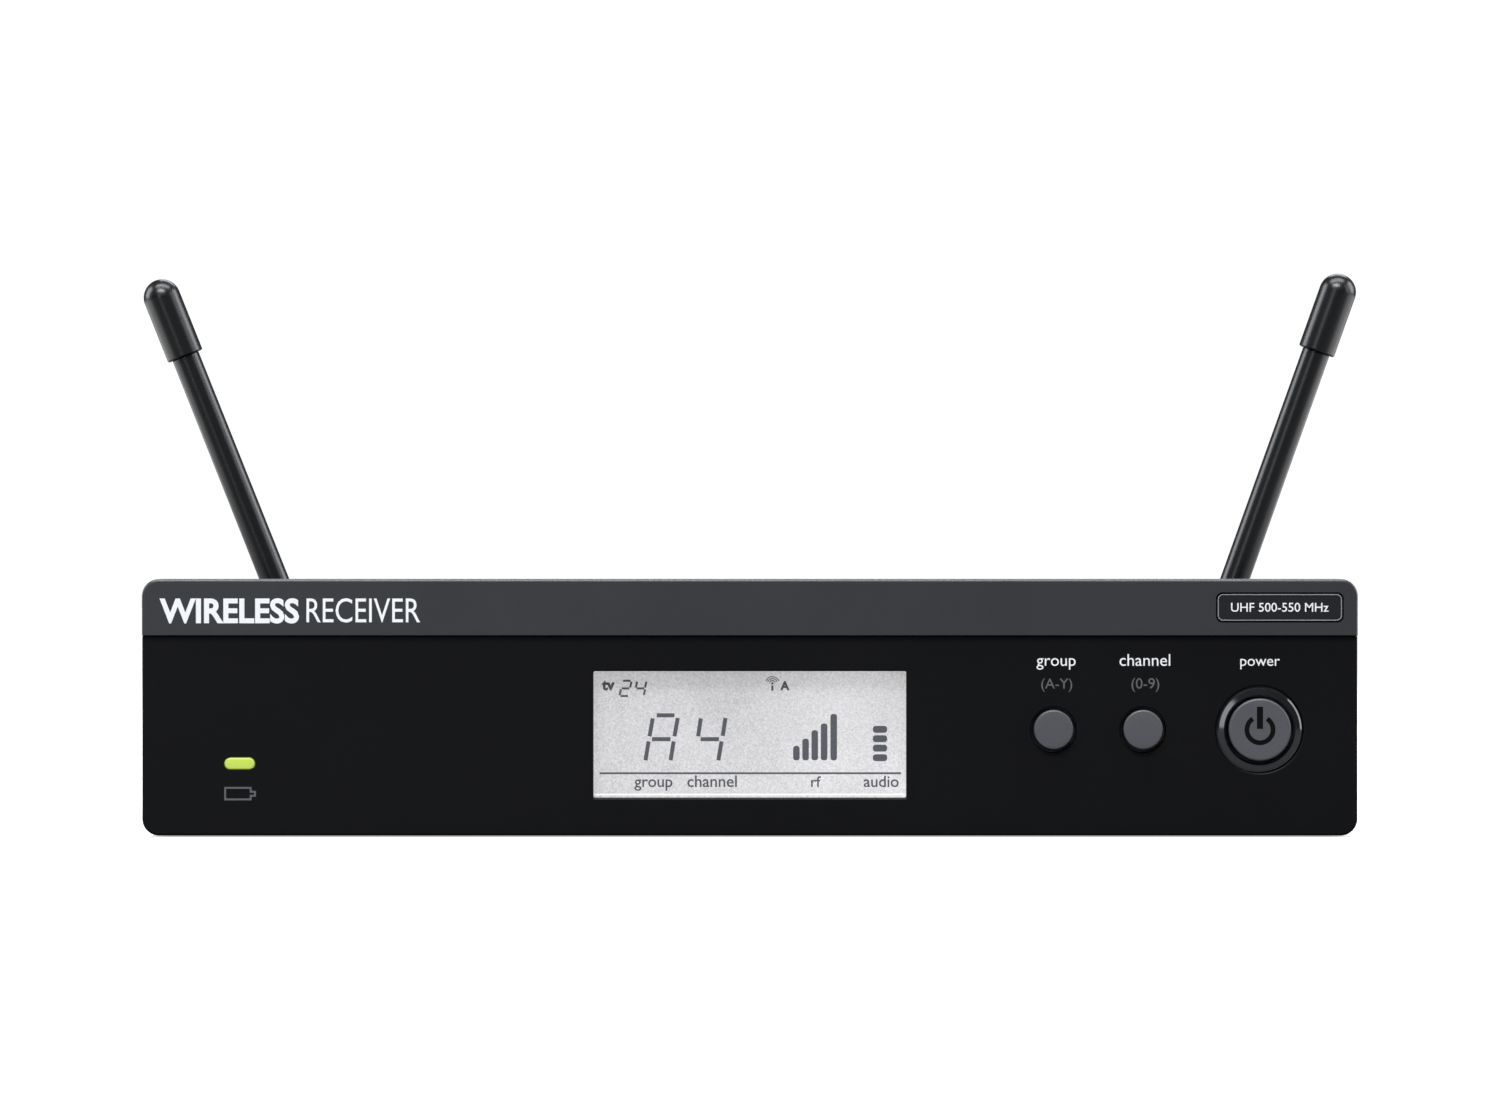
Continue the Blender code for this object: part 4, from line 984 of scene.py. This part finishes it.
def make_dc_jack():
    bush = [(0, -4), (4.4, -4), (4.4, 0.45), (4.25, 0.6), (0, 0.6)]
    bore = [(0, -10), (3.2, -10), (3.2, 0.3), (3.5, 0.6), (3.5, 3), (0, 3)]
    seat = round_bar(1.1, -13, -9, POWER_JACK, 24)
    body = box_body("dc_jack", 0.5, 0.3)
    socket = carve(body, (JOIN, spun(bush, POWER_JACK)), (CUT, spun(bore, POWER_JACK, 48)), (CUT, seat))
    piece("dc_socket", socket, "plastic", node="dc_jack")
    near, far = reach("dc_jack_pin")
    pin = [(0, near), (1.0, near), (1.0, far - 0.5), (0.85, far - 0.15), (0.5, far), (0, far)]
    piece("dc_pin", spun(pin, POWER_JACK, 32), "nickel", node="dc_jack_pin")


def make_volume_control():
    bush = [(0, -4), (3.5, -4), (3.5, 0.1), *threaded(3.5, 0.2, 2.8, 0.2, 0.6), (3.2, 3.0), (0, 3.0)]
    bore = round_bar(2.2, -8, 10, VOLUME)
    can = carve(box_body("volume_pot", 0.8, 0.4), (JOIN, spun(bush, VOLUME, 48)), (CUT, bore))
    piece("volume_body_can", can, "can", node="volume_pot")
    near, far = reach("volume_shaft")
    shaft = spun([(0, near), (2.0, near), (2.0, far - 0.3), (1.7, far), (0, far)], VOLUME, 40)
    piece("volume_spindle", shaft, "nickel", "volume_body", "volume_shaft")


def make_volume_knob():
    line = [(0, 12.5, 0), (4.3, 12.5, 0), (4.75, 12.42, 0), (5.05, 12.2, 0), (5.3, 11.9, 0.1)]
    line += [(5.42, 11.4, 0.22), (5.6, 7.5, 0.28), (5.85, 3.6, 0.22), (5.95, 2.9, 0), (6.0, 2.6, 0)]
    line += [(6.0, 1.2, 0), (5.85, 1.0, 0), (3.9, 1.0, 0), (3.9, 3.4, 0), (2.3, 3.4, 0), (2.3, 10.3, 0)]
    line.append((0, 10.3, 0))
    knob = fluted(line, VOLUME, 144, lambda a: 0.5 + 0.5 * math.cos(18 * a))
    low = VOLUME + Vector((-0.4, 11.9, 1.2)) * MM
    high = VOLUME + Vector((0.4, 14, 8)) * MM
    mesh = carve(knob, (CUT, box_between(low, high)))
    piece("volume_knob_fluted", mesh, "plastic", "volume_body", "volume_knob")
    outline = rounded(0.7 * MM, 3.2 * MM, 0.1 * MM, VOLUME.x, VOLUME.z + 2.95 * MM, 3)
    pointer = slab(outline, (), behind(11.85), behind(12.3))
    piece("volume_pointer", pointer, "white_ink", "volume_body")


def make_tie_off():
    place, end = middle("cord_tie_off"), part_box("cord_tie_off")[1].y
    base, post, bar = [
        rounded(width * MM, height * MM, corner * MM, place.x, place.z, steps)
        for width, height, corner, steps in ((8, 14, 1.0, 6), (4, 3.6, 0.5, 4), (5, 15.6, 0.9, 6))
    ]
    hook = carve(
        slab(base, (), behind(0.3), behind(1.8), rear=0.3 * MM),
        (JOIN, slab(post, (), behind(1.0), behind(8.6))),
        (JOIN, slab(bar, (), behind(7.8), end, 0.5 * MM, 0.6 * MM)),
    )
    piece("tie_off_hook", hook, "plastic", node="cord_tie_off")


# ------------------------------------------------------------------ antennas
def lean(side):
    """How far an antenna leans from upright, from where its rounded tip stands."""
    low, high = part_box(f"{side}_whip_cap")
    radius = CAP_RADIUS * MM
    tip_x = low.x + radius if side == "left" else high.x - radius
    jack = JACKS[side]
    return math.atan2(tip_x - jack.x, high.z - radius - jack.z)


def leant(side):
    """Where an antenna made about +Y from the origin stands."""
    return Matrix.Translation(JACKS[side]) @ Matrix.Rotation(lean(side), 4, "Y")


def make_antenna_jack(side):
    place = JACKS[side]
    line = [(0, -8), (3.5, -8), (3.5, -3.5), (6.9, -3.5), (7.0, -3.4), (7.0, -1.4), (6.9, -1.3), (4.8, -1.3)]
    line += [(4.8, 0.2), *threaded(4.8, 0.3, 3.0), (4.55, 3.2), (4.8, 3.4), (4.8, 10.8), (4.6, 11), (0, 11)]
    bore = [(0, 3.5), (4.15, 3.5), (4.15, 10.7), (4.4, 11.0), (4.4, 13), (0, 13)]
    lugs = spun([(0, -5.4), (0.75, -5.4), (0.9, -5.25), (0.9, 5.25), (0.75, 5.4), (0, 5.4)], sides=32)
    lugs.move(Matrix.Translation((place.x, behind(5.2), place.z)) @ ALONG_Z)
    socket = carve(spun(line, place), (JOIN, lugs), (CUT, spun(bore, place)))
    piece(f"{side}_socket", socket, "nickel", node=f"{side}_antenna_jack")
    hex_nut(f"{side}_nut", f"{side}_jack_nut", 12.5, 5.0, place)


def make_collar(side):
    place = JACKS[side]
    near, far = reach(f"{side}_bayonet_collar")
    line = [(6.75, near, 0), (7.0, near + 0.2, 0), (7.05, near + 1.4, 0), (7.2, near + 1.7, 0.3)]
    line += [(7.2, near + 7.4, 0.3), (7.05, near + 7.7, 0), (6.6, near + 8.3, 0), (6.6, far - 1.2, 0)]
    line += [(6.95, far - 0.9, 0), (6.95, far - 0.2, 0), (6.75, far, 0), (5.1, far, 0), (5.1, 6.4, 0)]
    line += [(5.9, 6.4, 0), (5.9, 4.0, 0), (5.1, 4.0, 0), (5.1, near + 0.3, 0), (5.4, near, 0)]
    shape = fluted(line, place, 192, lambda a: max(0.0, math.cos(24 * a)) ** 2, ring=True)
    x, z, wide, half = place.x, place.z, 5.6 * MM, 1.1 * MM
    slots = box_between((x - wide, behind(near - 1), z - half), (x + wide, behind(5.2), z + half))
    mesh = carve(shape, (CUT, slots))
    piece(f"{side}_locking_collar", mesh, "nickel", f"{side}_collar", f"{side}_bayonet_collar")


def make_plug(side):
    core = [(0, 4.2), (3.7, 4.2), (3.9, 4.4), (3.9, 11.3), (4.7, 11.3), (4.8, 11.4), (4.8, 13.9), (4.7, 14.0)]
    core += [(3.6, 14.0), (3.6, 17.0), (3.4, 17.2), (0, 17.2)]
    plug = spun(core).move(leant(side))
    piece(f"{side}_plug", plug, "nickel", f"{side}_swivel_base", f"{side}_plug_core")


def make_knuckle(side):
    """The hinge's fork, rounded at its end, and the pin through it."""
    across = AT_FOLD @ ALONG_X
    body = f"{side}_swivel_base"
    knuckle = spun([(0, 14.3), (5.2, 14.3), (5.5, 14.45), (5.6, 14.8), (5.6, 26.0), (0, 26.0)], sides=96)
    nose = slab(rounded(21 * MM, 11.4 * MM, 4.2 * MM, 15.5 * MM, 0, 16), (), -10 * MM, 10 * MM).move(SWAP_X_Y)
    slot = box_between((-2.8 * MM, 17.9 * MM, -10 * MM), (2.8 * MM, 40 * MM, 10 * MM))
    hole = round_bar(1.15, -9, 9, sides=32).move(across)
    mesh = carve(knuckle, (KEEP, nose), (CUT, slot), (CUT, round_bar(3.8, 12, 17.4)), (CUT, hole))
    mesh.transform(leant(side))
    piece(f"{side}_hinge_knuckle", mesh, "plastic", body, f"{side}_knuckle")

    pin = spun([(0, -5.3), (0.8, -5.3), (1.0, -5.1), (1.0, 5.1), (0.8, 5.3), (0, 5.3)], sides=32)
    piece(f"{side}_hinge_pin", pin.move(leant(side) @ across), "nickel", body, f"{side}_fold_pin")


def make_rod(side):
    line = [(0, 74.1), (1.6, 74.1), (1.6, 65.75), (2.39, 65.75), (2.45, 65.6)]
    line += [(2.51, 7.0), (1.9, 5.0), (1.9, 2.0), (0, 2.0)]
    rod = spun(soften(line, 0.3, 4), sides=96)
    outline = rounded(9.6 * MM, 7.2 * MM, 3.4 * MM, 1.2 * MM, 0, 12)
    root = slab(outline, (), -2.5 * MM, 2.5 * MM, 0.3 * MM, 0.3 * MM)
    eye = round_bar(1.15, -5, 5, sides=32).move(ALONG_X)
    mesh = carve(rod, (JOIN, root.move(SWAP_X_Y)), (CUT, eye))
    mesh.transform(leant(side) @ AT_FOLD @ ALONG_Z)
    piece(f"{side}_rod_moulding", mesh, "antenna", f"{side}_rod", f"{side}_whip")


def make_cap(side):
    dome = [math.pi / 2 * k / 14 for k in range(1, 15)]
    line = [(0, 80.15), *[(CAP_RADIUS * math.sin(a), 76.9 + 3.25 * math.cos(a)) for a in dome]]
    line += [(CAP_RADIUS, 66.05), (3.21, 65.9), (3.08, 65.8), (1.8, 65.8), (1.8, 74.6), (0, 74.6)]
    cap = spun(line, sides=96).move(leant(side) @ AT_FOLD @ ALONG_Z)
    piece(f"{side}_cap", cap, "antenna", f"{side}_rod", f"{side}_whip_cap")


# ------------------------------------------------------------------ the inside, as the CAD has it
INSIDE = {
    "paint": ["chassis_tray"],
    "diffuser": ["lcd_backlight"],
    "board": ["display_board", "main_board"],
    "can": ["rf_shield_can"],
    "switch": ["group_switch", "channel_switch", "power_switch"],
    "lead": ["ribbon_cable", "left_coax_lead", "right_coax_lead"],
}


def finish_inside():
    for finish, names in INSIDE.items():
        for name in names:
            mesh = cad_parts[name].data
            mesh.materials.clear()
            mesh.materials.append(LOOKS[finish])


# ------------------------------------------------------------------ the floor
def make_floor_material():
    """White with a soft shadow to the camera, and dim in what the object reflects."""
    material = bpy.data.materials.new("floor")
    graph = Graph(material)
    graph.nodes.clear()
    place = graph.place()
    away = graph.add("VectorMath", {0: place}, operation="LENGTH").node.outputs["Value"]
    grain = graph.noise(place, 60)

    def lit(strength, darkest, lightest):
        """A matt surface that also shines."""
        matt = graph.add("BsdfDiffuse", {"Color": graph.span(grain, darkest, lightest)})
        return graph.add("AddShader", {0: graph.add("Emission", {"Strength": strength}), 1: matt})

    white = lit(graph.span(away, 0.55, 1.05, 0.10, 0.80, "SMOOTHSTEP"), 0.82, 0.88)
    # To both sides of the object the floor gives its reflections a bright card.
    x, y, _ = graph.parts(place)
    card = graph.span(graph.math("ABSOLUTE", x), 0.0, 2.2, 0.15, 0.35, "SMOOTHSTEP")
    for limit in (
        graph.span(y, 0.0, 1.0, -0.08, 0.02, "SMOOTHSTEP"),
        graph.span(away, 1.0, 0.0, 0.50, 0.80, "SMOOTHSTEP"),
    ):
        card = graph.math("MULTIPLY", card, limit)
    dim = lit(card, 0.13, 0.15)
    graph.add("OutputMaterial", {"Surface": graph.add("MixShader", {0: graph.seen(), 1: dim, 2: white})})
    return material


def make_floor():
    shape = Shape()
    size, cells = 7.0, 4
    places = [-size + 2 * size * i / cells for i in range(cells + 1)]
    rows = [shape.loop((x, y, 0.0) for x in places) for y in places]
    for a, b in zip(rows, rows[1:]):
        shape.join(a, b, closed=False)
    mesh = shape.mesh("studio_floor")
    mesh.materials.append(make_floor_material())
    link(bpy.data.objects.new("studio_floor", mesh))


make_camera()
make_world()
make_lights()
bpy.context.scene.view_settings.view_transform = "Standard"
make_front_looks()
make_display_looks()
make_print_looks()
make_case_looks()
make_metal_looks()
make_inner_looks()

make_bezel()
make_bosses()
make_band()
make_badge()
make_window_and_display()
make_light_pipe()
make_buttons()
make_ring()
make_panel_print()
make_display_print()
make_cover()
make_cover_screws()
make_rear_panel()
make_feet()
make_xlr()
make_xlr_contacts()
make_phone_jack()
make_dc_jack()
make_volume_control()
make_volume_knob()
make_tie_off()
for side in JACKS:
    make_antenna_jack(side)
    make_collar(side)
    make_plug(side)
    make_knuckle(side)
    make_rod(side)
    make_cap(side)
finish_inside()
make_floor()
